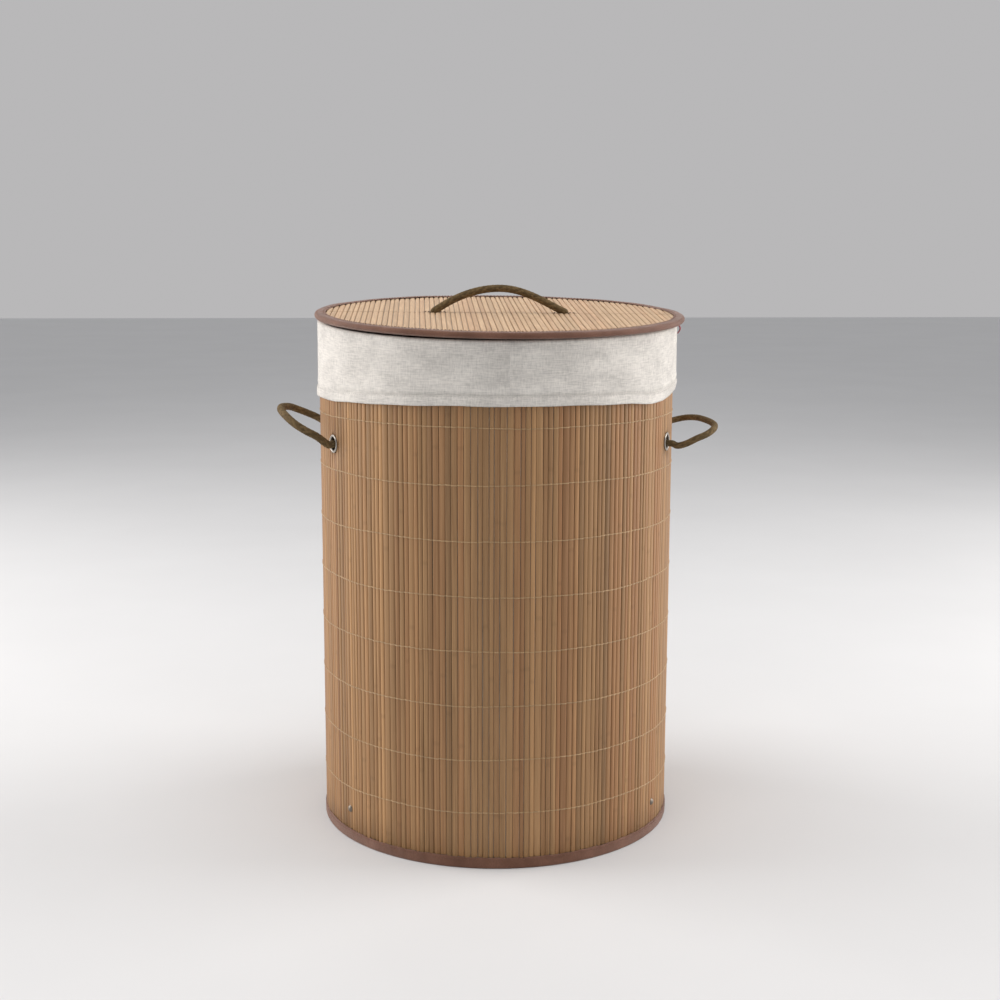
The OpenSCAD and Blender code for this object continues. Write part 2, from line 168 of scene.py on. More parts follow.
class HamperLid(bpy.types.PropertyGroup):
    """Sizes and rest of the loose lid."""
    tilt: angle("Tilt", "How far the lid's back stands up", 2.8)
    roll: angle("Roll", "How far the lid's right side is down", 0.35)
    spin: angle("Spin", "How far the lid is turned, anticlockwise from above", -2.0)
    lean: angle("Lean", "How far the middle slats lean out of square with the handle", 0.6)
    left_fan: angle("Left fan", "How much more the left slats lean", 0.5)
    right_fan: angle("Right fan", "How much the right slats lean the other way", 1.6)
    thickness: length("Thickness", "Thickness of the lid's bound edge", 6 * MM)
    slat_count: IntProperty(name="Slats", description="Slats across the lid", default=69, min=10)
    slat_thickness: length("Slat thickness", "Thickness of a slat", 2.2 * MM)
    slat_top: length("Slat top", "Height of the slats' faces over the underside", 5.15 * MM)
    slat_spread: share("Slat spread", "How far the slats' widths differ from each other", 0.14)
    slat_gap: length("Slat gap", "Gap between two slats", 0.6 * MM)
    slat_crown: length("Slat crown", "How far a slat's face falls away to its edges", 0.85 * MM)
    slat_lift: length("Slat lift", "How far slats stand in or out of line", 0.12 * MM)
    slat_variety: share("Slat variety", "How far the slats' tones differ", 0.12)
    tape_width: length("Tape width", "Width of the binding tape on top", 11 * MM)
    tape_skin: length("Tape skin", "Thickness of the folded tape", 0.8 * MM)
    tail_angle: angle("Tail angle", "Angle of the tape's loose end from the right", -19)
    hole_spacing: length("Hole spacing", "Distance between the handle's holes", 128 * MM)
    handle_foot: length("Handle foot", "Height at which the handle's arch begins", 6.0 * MM)
    handle_rise: length("Handle rise", "Rise of the handle's arch", 23 * MM)
    pivot_height: length("Pivot height", "Height of the handle's pivots over the underside", 9.75 * MM)


class HamperRopes(bpy.types.PropertyGroup):
    """Sizes of the braided rope."""
    diameter: length("Diameter", "Diameter of the left and the lid's rope", 7.4 * MM)
    slim_diameter: length("Slim diameter", "Diameter of the right rope, which is pulled tight", 6.5 * MM)
    carriers: IntProperty(name="Carriers", description="Strands in each direction", default=8, min=3)
    braid_pitch: length("Braid pitch", "Length of one crossing of the braid", 4.4 * MM)
    braid_depth: length("Braid depth", "Height of the strands", 0.42 * MM)
    step: length("Step", "Distance between two rings of points", 0.6 * MM)
    knot_diameter: length("Knot diameter", "Diameter of the rope, drawn tight in a knot", 6.4 * MM)
    knot_size: length("Knot size", "Size of one unit of a knot's curve", 1.75 * MM)


class HamperColours(bpy.types.PropertyGroup):
    """Colours of the hamper's materials."""
    wall_dark: colour("Wall dark", "Darker fibres of the wall's slats", (0.250, 0.134, 0.057))
    wall_light: colour("Wall light", "Lighter fibres of the wall's slats", (0.440, 0.258, 0.122))
    lid_dark: colour("Lid dark", "Darker fibres of the lid's slats", (0.50, 0.330, 0.195))
    lid_light: colour("Lid light", "Lighter fibres of the lid's slats", (0.70, 0.51, 0.335))
    tape: colour("Tape", "Brown binding tape", (0.180, 0.084, 0.053))
    linen: colour("Linen", "Off-white liner cloth", (0.82, 0.785, 0.73))
    rope: colour("Rope", "Olive brown rope", (0.122, 0.084, 0.041))
    thread: colour("Thread", "Pale stitching thread", (0.55, 0.365, 0.195))
    dark_thread: colour("Dark thread", "Thread on the lid", (0.075, 0.045, 0.035))
    tail: colour("Tail", "Loose end under the lid", (0.42, 0.11, 0.13))
    nickel: colour("Nickel", "Eyelets and their washers", (0.42, 0.39, 0.35))
    rivet: colour("Rivet", "Dull rivets at the foot", (0.25, 0.215, 0.18))
    zinc: colour("Zinc", "Clips under the base board and the rivets' washers", (0.58, 0.59, 0.60))
    wire: colour("Wire", "Spring wire hoops", (0.42, 0.41, 0.40))
    backing: colour("Backing", "Cloth behind the slats", (0.36, 0.28, 0.19))
    board_dark: colour("Board dark", "Darker fibres of the base board", (0.16, 0.085, 0.045))
    board_light: colour("Board light", "Lighter fibres of the base board", (0.40, 0.26, 0.155))


class HamperStage(bpy.types.PropertyGroup):
    """Camera, lights and floor."""
    camera_distance: length("Distance", "Camera's level distance from the hamper's axis",
                            1.5514, high=10)
    camera_height: length("Height", "Camera's height over the floor", 0.5895, high=10)
    camera_turn: angle("Turn", "How far the camera stands to the left of the front", 3.9)
    camera_yaw: angle("Yaw", "How far the camera looks past the axis", 0.146)
    camera_pitch: angle("Pitch", "How far the camera looks down", 9.866)
    camera_roll: angle("Roll", "Turn of the camera about its line of sight", 0.149)
    camera_lens: FloatProperty(name="Lens", description="Focal length on a 36 mm sensor",
                               default=56.06, min=10, unit="CAMERA")
    floor: colour("Floor", "Pale floor", (0.72, 0.73, 0.74))
    floor_reach: length("Floor reach", "Distance from the axis to the floor's edges", 9.0, high=50)
    sky: colour("Surroundings", "Light from all round", (0.88, 0.87, 0.88))
    sky_strength: FloatProperty(name="Surroundings' strength", description="Strength of that light",
                                default=0.55, min=0.0)
    side_tint: colour("Side tint", "Colour of the two side lights", (1.0, 0.96, 0.93))
    top_tint: colour("Top tint", "Colour of the light from above", (1.0, 0.97, 0.94))


SETTINGS = {
    "hamper_wall": HamperWall,
    "hamper_liner": HamperLiner,
    "hamper_lid": HamperLid,
    "hamper_ropes": HamperRopes,
    "hamper_colours": HamperColours,
    "hamper_stage": HamperStage,
}


# ---- Meshes ----


def grid_faces(rows, cols, wrap_rows, wrap_cols):
    """Quads of a grid of points, and the unwrapped row and column of each quad's corners."""
    row, col = np.meshgrid(
        np.arange(rows if wrap_rows else rows - 1),
        np.arange(cols if wrap_cols else cols - 1), indexing="ij")
    row = np.stack([row, row, row + 1, row + 1], -1).reshape(-1, 4)
    col = np.stack([col, col + 1, col + 1, col], -1).reshape(-1, 4)
    return (row % rows) * cols + col % cols, row, col


def volume(points, faces):
    """Signed volume inside the faces: a sixth of the sum of their fans' triple products."""
    total = 0.0
    for group in faces:
        first = points[group[:, 0]]
        for i in range(1, group.shape[1] - 1):
            crossed = np.cross(points[group[:, i]], points[group[:, i + 1]])
            total += np.einsum("ij,ij->", first, crossed)
    return total / 6


def make_piece(name, points, faces, material, uvs=None, values=None):
    """A mesh object from points and groups of faces with the same number of corners.

    uvs holds one array of corner positions for each group, and values a number or vector for each
    point under its attribute's name. Faces that point inwards are all turned round."""
    points = np.asarray(points, float).reshape(-1, 3)
    middle = points - points.mean(0)
    if volume(middle, faces) < 0:
        faces = [group[:, ::-1] for group in faces]
        uvs = None if uvs is None else [group[:, ::-1] for group in uvs]
    mesh = bpy.data.meshes.new(name)
    mesh.vertices.add(len(points))
    mesh.vertices.foreach_set("co", points.astype(np.float32).ravel())
    corners = np.concatenate([group.ravel() for group in faces]).astype(np.int32)
    sides = np.concatenate([np.full(len(group), group.shape[1]) for group in faces])
    mesh.loops.add(len(corners))
    mesh.loops.foreach_set("vertex_index", corners)
    mesh.polygons.add(len(sides))
    mesh.polygons.foreach_set("loop_start", (np.cumsum(sides) - sides).astype(np.int32))
    mesh.update(calc_edges=True)
    mesh.polygons.foreach_set("use_smooth", np.ones(len(sides), bool))
    if uvs is not None:
        layer = mesh.uv_layers.new(name="UVMap")
        flat = np.concatenate([group.reshape(-1, 2) for group in uvs]).astype(np.float32)
        layer.data.foreach_set("uv", flat.ravel())
    for key, value in (values or {}).items():
        value = np.asarray(value, np.float32).reshape(len(points), -1)
        kind, field = ("FLOAT", "value") if value.shape[1] == 1 else ("FLOAT_VECTOR", "vector")
        layer = mesh.attributes.new(key, kind, "POINT")
        layer.data.foreach_set(field, value.ravel())
    if mesh.validate():
        raise RuntimeError(f"{name} has faces that don't hold together")
    piece = bpy.data.objects.new(name, mesh)
    bpy.context.collection.objects.link(piece)
    mesh.materials.append(material)
    return piece


def tubes(points, wrap_rows=False, uv_step=(1.0, 1.0)):
    """Faces and corner positions of a batch of tubes, points (k, rows, cols, 3), closed across.

    Open tubes get one flat face at each end. A corner's position is its row and its column, each
    times its uv_step."""
    count, rows, cols = points.shape[:3]
    quads, row, col = grid_faces(rows, cols, wrap_rows, True)
    start = (np.arange(count) * rows * cols)[:, None, None]
    uv = np.stack([row * uv_step[0], col * uv_step[1]], -1)
    faces = [(quads[None] + start).reshape(-1, 4)]
    uvs = [np.tile(uv, (count, 1, 1))]
    if not wrap_rows:
        ends = np.stack([np.arange(cols)[::-1], (rows - 1) * cols + np.arange(cols)])
        faces.append((ends[None] + start).reshape(-1, cols))
        uvs.append(np.zeros((2 * count, cols, 2)))
    return faces, uvs


def polar(radius, height, turn):
    """Points at radius and height: (r sin a, -r cos a, z), with turn a for each row."""
    turn = turn.reshape((-1,) + (1,) * (radius.ndim - 1))
    return np.stack([radius * np.sin(turn), -radius * np.cos(turn), height + 0 * turn], -1)


def waves(a, counts, seed):
    """A smooth closed ripple of a turn: the mean of cosines with whole numbers of waves."""
    rng = np.random.default_rng(seed)
    total = np.zeros_like(a)
    for count in counts:
        total = total + rng.uniform(0.5, 1) * np.cos(count * a + rng.uniform(0, TAU))
    return total / math.sqrt(len(counts))


def smoothstep(x, low, high):
    """0 below low, 1 above high, and 3t^2 - 2t^3 between them."""
    t = np.clip((x - low) / (high - low), 0, 1)
    return t * t * (3 - 2 * t)


def bead_batch(centres, along, outward, size, radius):
    """Stitches: each is a round bead carried along an arc that dips at both ends.

    Its height over the cloth is radius * (1 - 2.2 t^2), and its thickness radius * sqrt(1 - t^4),
    where t runs from -1 to 1 along it."""
    t = np.linspace(-0.98, 0.98, 6)
    spin = np.linspace(0, TAU, 6, endpoint=False)
    side = np.cross(along, outward)
    thick = radius * np.sqrt(1 - t ** 4)
    line = (centres[:, None] + along[:, None] * (t * size / 2)[None, :, None]
            + outward[:, None] * (radius * (1 - 2.2 * t ** 2))[None, :, None])
    ring = (side[:, None, None] * np.cos(spin)[None, None, :, None]
            + outward[:, None, None] * np.sin(spin)[None, None, :, None])
    return line[:, :, None] + ring * thick[None, :, None, None]


# ---- Materials ----


def add(tree, kind, inputs=None, **settings):
    """A new shader node, with its settings, and its inputs linked or set."""
    node = tree.nodes.new("ShaderNode" + kind)
    for key, value in settings.items():
        setattr(node, key, value)
    for key, value in (inputs or {}).items():
        if isinstance(value, bpy.types.NodeSocket):
            tree.links.new(value, node.inputs[key])
        else:
            node.inputs[key].default_value = value
    return node


def start_material(name, **sockets):
    """A new material with its shader's sockets set, its node tree and its shader. The last two are
    None where a material of that name was made before, and it is used again as it is."""
    found = bpy.data.materials.get(name)
    if found:
        return found, None, None
    material = bpy.data.materials.new(name)
    material.use_nodes = True
    tree = material.node_tree
    shader = tree.nodes["Principled BSDF"]
    for key, value in sockets.items():
        shader.inputs[key.replace("_", " ")].default_value = value
    return material, tree, shader


def place(tree, source, scale, shift=None):
    """Coordinates from Object or UV, scaled, and shifted by another vector if there is one."""
    coordinates = add(tree, "TexCoord").outputs[source]
    vector = add(tree, "Mapping", {"Vector": coordinates, "Scale": scale}).outputs[0]
    if shift is not None:
        vector = add(tree, "VectorMath", {0: vector, 1: shift}, operation="ADD").outputs[0]
    return vector


def noise(tree, vector, detail=3.0, roughness=0.55):
    """Cloudy noise over coordinates that are scaled already."""
    return add(tree, "TexNoise", {"Vector": vector, "Scale": 1.0, "Detail": detail,
                                  "Roughness": roughness}).outputs["Fac"]


def maths(tree, operation, a, b=0.0):
    """One sum, product or other operation on a and b."""
    return add(tree, "Math", {0: a, 1: b}, operation=operation).outputs[0]


def weigh(tree, a, share_a, b, share_b):
    """a * share_a + b * share_b."""
    return maths(tree, "ADD", maths(tree, "MULTIPLY", a, share_a), maths(tree, "MULTIPLY", b, share_b))


def tinted(tint, factor):
    """A colour made darker or lighter by a factor, and never brighter than white."""
    return tuple(min(1.0, factor * c) for c in tint)


def remap(tree, value, low, high, out_low, out_high):
    """A value's way from low to high, drawn out between out_low and out_high."""
    return add(tree, "MapRange", {"Value": value, "From Min": low, "From Max": high,
                                  "To Min": out_low, "To Max": out_high}).outputs[0]


def blend_colours(tree, factor, a, b, mode="MIX"):
    """Colour a, covered by colour b as far as the factor says."""
    def whole(value):
        return value if isinstance(value, bpy.types.NodeSocket) else (*value, 1.0)

    node = add(tree, "Mix", {0: factor, 6: whole(a), 7: whole(b)}, data_type="RGBA", blend_type=mode)
    return node.outputs[2]


def give_bump(tree, shader, height, strength, distance):
    """Fine relief in the shading: the height times the distance, as strong as the strength says."""
    bump = add(tree, "Bump", {"Height": height, "Strength": strength, "Distance": distance})
    tree.links.new(bump.outputs[0], shader.inputs["Normal"])


def bamboo(name, dark, light, lengthwise, variety):
    """Split bamboo: fibres drawn out along the slat, a tone of its own for each slat, and now and
    then the darker ring of a growth node. lengthwise is 2 for slats along Z and 1 for along Y, and
    variety is how far the slats' tones differ."""
    material, tree, shader = start_material(name, Roughness=0.5, Specular_IOR_Level=0.35)
    if tree is None:
        return material
    seed = add(tree, "Attribute", attribute_name="slat_seed").outputs["Vector"]
    tone = add(tree, "SeparateXYZ", {0: seed})
    shift = add(tree, "VectorMath", {0: seed, 1: (37.0, 91.0, 53.0)}, operation="MULTIPLY").outputs[0]
    fine = [2600.0] * 3
    broad = [620.0] * 3
    fine[lengthwise] = 22.0
    broad[lengthwise] = 7.0
    fibres = noise(tree, place(tree, "Object", fine, shift), detail=2.0)
    streaks = noise(tree, place(tree, "Object", broad, shift), detail=3.0)
    grain = weigh(tree, fibres, 0.45, streaks, 0.55)
    base = blend_colours(tree, remap(tree, grain, 0.36, 0.64, 0.0, 1.0), dark, light)
    redder = tuple(c * k for c, k in zip(light, (0.95, 0.70, 0.62)))
    golden = tuple(c * k for c, k in zip(light, (0.97, 0.93, 0.89)))
    red_share = remap(tree, tone.outputs[1], 0.5, 1.0, 0.0, 1.5 * variety)
    gold_share = remap(tree, tone.outputs[1], 0.0, 0.5, 2.0 * variety, 0.0)
    base = blend_colours(tree, red_share, base, redder)
    base = blend_colours(tree, gold_share, base, golden)
    lift = remap(tree, tone.outputs[0], 0.0, 1.0, 1.0 - variety, 1.0 + variety)
    lift_colour = add(tree, "CombineColor", {0: lift, 1: lift, 2: lift}).outputs[0]
    base = blend_colours(tree, 1.0, base, lift_colour, "MULTIPLY")
    span = add(tree, "SeparateXYZ", {0: place(tree, "Object", (3.6, 3.6, 3.6))}).outputs[lengthwise]
    place_on_slat = maths(tree, "ADD", span, maths(tree, "MULTIPLY", tone.outputs[2], 17.0))
    ring = maths(tree, "ABSOLUTE", maths(tree, "SUBTRACT", maths(tree, "FRACT", place_on_slat), 0.5))
    ring = remap(tree, ring, 0.003, 0.011, 1.0, 0.0)
    base = blend_colours(tree, maths(tree, "MULTIPLY", ring, 0.16), base, tinted(dark, 0.5))
    tree.links.new(base, shader.inputs["Base Color"])
    tree.links.new(remap(tree, streaks, 0.3, 0.7, 0.42, 0.62), shader.inputs["Roughness"])
    give_bump(tree, shader, weigh(tree, grain, 1.0, ring, 0.5), 0.35, 0.25 * MM)
    return material


def woven(name, tint, thread, depth, slub, sheen, source="UV", roughness=0.85):
    """Plain-woven cloth: warp and weft are sines of the two directions across the cloth, one up
    where the other is down, with thick and thin places drawn out along each thread. Painted shade
    makes the low places of the weave and the cloth's creases a little darker. thread is the length of
    one repeat of the weave, depth its relief, slub how far the threads' tones differ, and sheen the share
    of soft nap."""
    material, tree, shader = start_material(name, Roughness=roughness, Specular_IOR_Level=0.2,
                                            Sheen_Weight=sheen, Sheen_Roughness=0.5)
    if tree is None:
        return material
    turns = TAU / thread
    axes = add(tree, "SeparateXYZ", {0: place(tree, source, (turns, turns, turns))})
    warp = maths(tree, "SINE", axes.outputs[0])
    weft = maths(tree, "SINE", axes.outputs[1 if source == "UV" else 2])
    weave = maths(tree, "MULTIPLY", warp, weft)
    long_way = noise(tree, place(tree, source, (0.6 / thread, 0.11 / thread, 0.6 / thread)), detail=2.0)
    across = (0.09 / thread, 0.6 / thread, 0.09 / thread)
    short_way = noise(tree, place(tree, source, across), detail=2.0)
    cloud = noise(tree, place(tree, source, (26.0, 40.0, 26.0)), detail=4.0)
    slubs = weigh(tree, long_way, 0.9, short_way, 1.1)
    value = weigh(tree, slubs, 0.38, cloud, 0.45)
    shaded = tinted(tint, 0.45)
    base = blend_colours(tree, remap(tree, value, 0.47, 0.74, 0.0, 1.0),
                         tinted(tint, 1 - slub), tinted(tint, 1 + 0.5 * slub))
    # Painted shade in the low places of the weave, where one thread dips under the other.
    base = blend_colours(tree, remap(tree, weave, -1.0, 1.0, 0.16, 0.0), base, shaded)
    # Painted shade in the creases: the crease attribute darkens the cloth towards the shaded colour.
    crease = add(tree, "Attribute", attribute_name="crease").outputs["Fac"]
    base = blend_colours(tree, maths(tree, "MULTIPLY", crease, 0.22), base, shaded)
    tree.links.new(base, shader.inputs["Base Color"])
    height = weigh(tree, weave, 1.0, slubs, 1.4)
    give_bump(tree, shader, height, 0.5, depth)
    return material


def tape(name, tint, source="UV"):
    """Herringbone binding tape: slanted ribs with painted shade in the grooves between them, so that
    their high places look paler, a soft nap and paler worn patches.
    """
    material, tree, shader = start_material(name, Roughness=0.8, Specular_IOR_Level=0.2,
                                            Sheen_Weight=0.3, Sheen_Roughness=0.45)
    if tree is None:
        return material
    axes = add(tree, "SeparateXYZ", {0: place(tree, source, (1.0, 1.0, 1.0))})
    across = axes.outputs[1 if source == "UV" else 2]
    slant = maths(tree, "ADD", axes.outputs[0], across)
    ribs = maths(tree, "SINE", maths(tree, "MULTIPLY", slant, TAU / (0.9 * MM)))
    fine = noise(tree, place(tree, source, (900.0, 900.0, 900.0)), detail=2.0)
    patches = noise(tree, place(tree, source, (42.0, 42.0, 42.0)), detail=4.0)
    worn = tuple(min(1.0, 1.75 * c + 0.02) for c in tint)
    groove_shade_and_fibre_tone = tinted(tint, 0.62)
    base = blend_colours(tree, remap(tree, patches, 0.35, 0.7, 0.0, 0.75), tint, worn)
    # Painted shade in the grooves between the ribs; the next line uses the same darker colour for random
    # fibre tone.
    base = blend_colours(tree, remap(tree, ribs, -1.0, 0.2, 0.55, 0.0), base, groove_shade_and_fibre_tone)
    base = blend_colours(tree, remap(tree, fine, 0.35, 0.65, 0.35, 0.0), base, groove_shade_and_fibre_tone)
    tree.links.new(base, shader.inputs["Base Color"])
    give_bump(tree, shader, weigh(tree, ribs, 1.0, fine, 1.5), 0.5, 0.18 * MM)
    return material


def braid(name, tint):
    """Braided rope: each strand keeps a tone of its own, with fine fibres drawn out along it, and painted
    shade darkens the grooves between the strands.
    """
    material, tree, shader = start_material(name, Roughness=0.8, Specular_IOR_Level=0.1)
    if tree is None:
        return material
    strand = add(tree, "Attribute", attribute_name="strand").outputs["Fac"]
    groove = add(tree, "Attribute", attribute_name="groove").outputs["Fac"]
    fibres = noise(tree, place(tree, "UV", (500.0, 2600.0, 1.0)), detail=2.0)
    value = weigh(tree, strand, 0.55, fibres, 0.6)
    base = blend_colours(tree, remap(tree, value, 0.2, 0.95, 0.0, 1.0),
                         tinted(tint, 0.62), tinted(tint, 1.55))
    # Painted shade in the grooves between the strands, where the groove attribute is low.
    base = blend_colours(tree, remap(tree, groove, 0.0, 0.55, 0.55, 0.0), base, tinted(tint, 0.4))
    tree.links.new(base, shader.inputs["Base Color"])
    give_bump(tree, shader, fibres, 0.45, 0.15 * MM)
    return material


def sewing_thread(name, tint):
    """Twisted sewing thread: slanted fine ribs with small changes of tone."""
    material, tree, shader = start_material(name, Roughness=0.7, Specular_IOR_Level=0.3,
                                            Sheen_Weight=0.3, Sheen_Roughness=0.4)
    if tree is None:
        return material
    fibres = noise(tree, place(tree, "Object", (1800.0, 1800.0, 1800.0)), detail=2.0)
    patches = noise(tree, place(tree, "Object", (60.0, 60.0, 60.0)), detail=2.0)
    value = weigh(tree, fibres, 0.5, patches, 0.5)
    base = blend_colours(tree, remap(tree, value, 0.35, 0.65, 0.0, 1.0), tinted(tint, 0.68), tint)
    tree.links.new(base, shader.inputs["Base Color"])
    give_bump(tree, shader, fibres, 0.4, 0.1 * MM)
    return material


def metal(name, tint, roughness):
    """Plated metal: fine handling marks change its gloss, and it is dulled a little in patches."""
    material, tree, shader = start_material(name, Metallic=1.0)
    if tree is None:
        return material
    marks = noise(tree, place(tree, "Object", (900.0, 900.0, 250.0)), detail=4.0, roughness=0.65)
    patches = noise(tree, place(tree, "Object", (120.0, 120.0, 120.0)), detail=3.0)
    base = blend_colours(tree, remap(tree, patches, 0.4, 0.7, 0.0, 0.5), tint, tinted(tint, 0.62))
    tree.links.new(base, shader.inputs["Base Color"])
    tree.links.new(remap(tree, marks, 0.3, 0.7, roughness, roughness + 0.2), shader.inputs["Roughness"])
    give_bump(tree, shader, marks, 0.12, 0.05 * MM)
    return material


def hardboard(name, dark, light):
    """Pressed board: short dark and pale fibres in a brown ground."""
    material, tree, shader = start_material(name, Roughness=0.6, Specular_IOR_Level=0.3)
    if tree is None:
        return material
    flecks = noise(tree, place(tree, "Object", (700.0, 260.0, 400.0)), detail=5.0, roughness=0.7)
    clouds = noise(tree, place(tree, "Object", (18.0, 18.0, 18.0)), detail=3.0)
    value = weigh(tree, flecks, 0.7, clouds, 0.3)
    base = blend_colours(tree, remap(tree, value, 0.35, 0.65, 0.0, 1.0), dark, light)
    tree.links.new(base, shader.inputs["Base Color"])
    give_bump(tree, shader, flecks, 0.3, 0.1 * MM)
    return material


def plain_floor(name, tint):
    """Pale matt floor with a faint cloudiness."""
    material, tree, shader = start_material(name, Roughness=0.72, Specular_IOR_Level=0.25)
    if tree is None:
        return material
    clouds = noise(tree, place(tree, "Object", (3.0, 3.0, 3.0)), detail=3.0)
    base = blend_colours(tree, remap(tree, clouds, 0.3, 0.7, 0.0, 1.0), tinted(tint, 0.97), tint)
    tree.links.new(base, shader.inputs["Base Color"])
    return material


# ---- Slats ----


def slat_edges(count, span, spread, seed):
    """Edges of slats laid side by side over a span: each width is 1 plus a random share."""
    rng = np.random.default_rng(seed)
    edges = np.concatenate([[0.0], np.cumsum(1 + spread * rng.uniform(-1, 1, count))])
    return edges / edges[-1] * span


def slat_section(half, crown, thickness):
    """Section of each slat, counted across and outwards: the face falls by crown * t^4 from its
    middle to its edge, where t is the share of the half width, and the back is flat."""
    t = np.array([-1, -0.88, -0.55, 0, 0.55, 0.88, 1])
    across = half[:, None] * np.concatenate([t, [0.97, -0.97]])
    outward = np.concatenate([-crown * t ** 4, [-thickness, -thickness]])
    return across, np.broadcast_to(outward, across.shape)


def slat_runs(centres, across, low, high, holes):
    """Runs of slat between the ends low and high of each column of its section.

    A slat that crosses a round hole (across, along, radius) becomes two runs, and each column
    stops at the hole's circle, along -+ sqrt(radius^2 - offset^2), or at its middle outside it."""
    owner, starts, stops = [], [], []
    for i, centre in enumerate(centres):
        cuts = []
        for hole_across, hole_along, radius in holes:
            offset = centre + across[i] - hole_across
            if np.abs(offset).min() < radius:
                reach = np.sqrt(np.maximum(radius ** 2 - offset ** 2, 0))
                cuts.append((hole_along - reach, hole_along + reach))
        begins = [low[i]] + [upper for _, upper in cuts]
        ends = [lower for lower, _ in cuts] + [high[i]]
        owner += [i] * len(begins)
        starts += begins
        stops += ends
    return np.array(owner), np.array(starts), np.array(stops)


def slat_seeds(count, seed):
    """Three random numbers for each slat, which settle its tone, its redness and its grain."""
    rng = np.random.default_rng(seed)
    values = rng.uniform(0, 1, (count, 3))
    values[:, 0] = np.clip(rng.normal(0.5, 0.2, count), 0, 1)
    return values


def slat_lifts(count, lift, seed):
    """How far each slat stands in or out of line."""
    return lift * np.random.default_rng(seed).normal(0, 0.5, count).clip(-1, 1)


def wall_slat_layout(wall):
    """Arc positions of the wall's slats from the back left round to the back right, and lifts."""
    edges = slat_edges(wall.slat_count, TAU * WALL_R, wall.slat_spread, 11) - math.pi * WALL_R
    return edges, slat_lifts(wall.slat_count, wall.slat_lift, 12)


def eyelet_turns(wall):
    """Angles of the four eyelets: right front, right back, left front, left back."""
    front, back = wall.eyelet_angle, math.pi - wall.eyelet_angle
    return np.array([front, back, -front, -back])


def slat_bodies(edges, lifts, gap, crown, thickness, bow, low_high, holes, rows, seed):
    """Points across, outwards and along for every run of slat, and its seeds.

    A slat wanders sideways by bow * sin(2 pi along / 0.4 + phase), and in and out by half of the bow
    times cos(20 along + phase)."""
    centres = (edges[1:] + edges[:-1]) / 2
    half = (edges[1:] - edges[:-1]) / 2 - gap / 2
    across, outward = slat_section(half, crown, thickness)
    low, high = low_high(centres[:, None] + across)
    owner, starts, stops = slat_runs(centres, across, low, high, holes)
    step = np.linspace(0, 1, rows)[None, :, None]
    along = starts[:, None] + (stops - starts)[:, None] * step
    phase = np.random.default_rng(seed).uniform(0, TAU, len(centres))[owner][:, None, None]
    wander = np.sin(along * TAU / 0.4 + phase)
    across = across[owner][:, None] + bow * wander
    waver = 0.5 * bow * np.cos(along * 20 + phase)
    outward = outward[owner][:, None] + lifts[owner][:, None, None] + waver
    tones = slat_seeds(len(centres), seed + 1)[owner][:, None, None]
    seeds = np.broadcast_to(tones, along.shape + (3,))
    return centres[owner][:, None, None], across, outward, along, seeds


# ---- Operators ----


class PieceOperator:
    """What every operator of the hamper shares."""
    bl_options = {"REGISTER", "UNDO"}


class HAMPER_OT_wall_slats(PieceOperator, bpy.types.Operator):
    """Wall of upright bamboo slats, each with its own width, tone and slight bow"""
    bl_idname = "hamper.wall_slats"
    bl_label = "Wall slats"

    def execute(self, context):
        wall = context.scene.hamper_wall
        colours = context.scene.hamper_colours
        edges, lifts = wall_slat_layout(wall)
        hole = wall.eyelet_bore / 2 + 0.6 * MM
        holes = [(turn * WALL_R, EYELET_Z, hole) for turn in eyelet_turns(wall)]

        def ends(places):
            return np.full(places.shape, WALL_LOW[2]), np.full(places.shape, WALL_HIGH[2])

        centre, across, outward, along, seeds = slat_bodies(
            edges, lifts, wall.slat_gap, wall.slat_crown, wall.slat_thickness, wall.slat_bow,
            ends, holes, 15, 21)
        turn = centre / WALL_R
        radius = WALL_R + outward
        points = np.stack([
            radius * np.sin(turn) + across * np.cos(turn),
            -radius * np.cos(turn) + across * np.sin(turn), along], -1)
        faces, uvs = tubes(points, uv_step=(34 * MM, 1 * MM))
        material = bamboo("wall_bamboo_finish", tuple(colours.wall_dark), tuple(colours.wall_light), 2,
                          wall.slat_variety)
        piece = make_piece("bamboo_wall_slats", points, faces, material, uvs,
                           {"slat_seed": seeds.reshape(-1, 3)})
        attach(piece, "hamper")
        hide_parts("wall_slats")
        return {"FINISHED"}


class HAMPER_OT_wall_threads(PieceOperator, bpy.types.Operator):
    """Rows of pale thread that cross the slats and dip into the gaps between them"""
    bl_idname = "hamper.wall_threads"
    bl_label = "Wall threads"

    def execute(self, context):
        wall = context.scene.hamper_wall
        colours = context.scene.hamper_colours
        edges, lifts = wall_slat_layout(wall)
        width = np.diff(edges)
        share_of_slat = np.array([0.0, 0.16, 0.38, 0.62, 0.84])
        depth = np.array([-0.85, -0.12, 0.10, 0.10, -0.12]) * MM
        turn = ((edges[:-1, None] + width[:, None] * share_of_slat) / WALL_R).ravel()
        crown = (WALL_R + lifts[:, None] + depth).ravel()
        thick, tall = wall.thread_reach, wall.thread_height / 2
        spin = np.linspace(0, TAU, 6, endpoint=False)
        first = THREAD_LOW[2] + 0.6 * MM
        pitch = (THREAD_HIGH[2] - THREAD_LOW[2] - 1.2 * MM) / (wall.thread_rows - 1)
        rows = []
        for i in range(wall.thread_rows):
            rng = np.random.default_rng(40 + i)
            drift = wall.thread_wander * waves(turn, (2, 3, 5, 9), 60 + i)
            jitter = np.repeat(0.16 * MM * rng.normal(0, 1, wall.slat_count), len(depth))
            radius = crown[:, None] + thick * (0.55 + np.cos(spin))
            height = first + i * pitch + (drift + jitter)[:, None] + tall * np.sin(spin)
            rows.append(polar(radius, height, turn))
        points = np.stack(rows)
        faces, uvs = tubes(points, wrap_rows=True, uv_step=(1 * MM, 0.5 * MM))
        piece = make_piece("wall_stitching", points, faces,
                           sewing_thread("pale_thread", tuple(colours.thread)), uvs)
        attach(piece, "hamper")
        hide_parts("wall_threads")
        return {"FINISHED"}


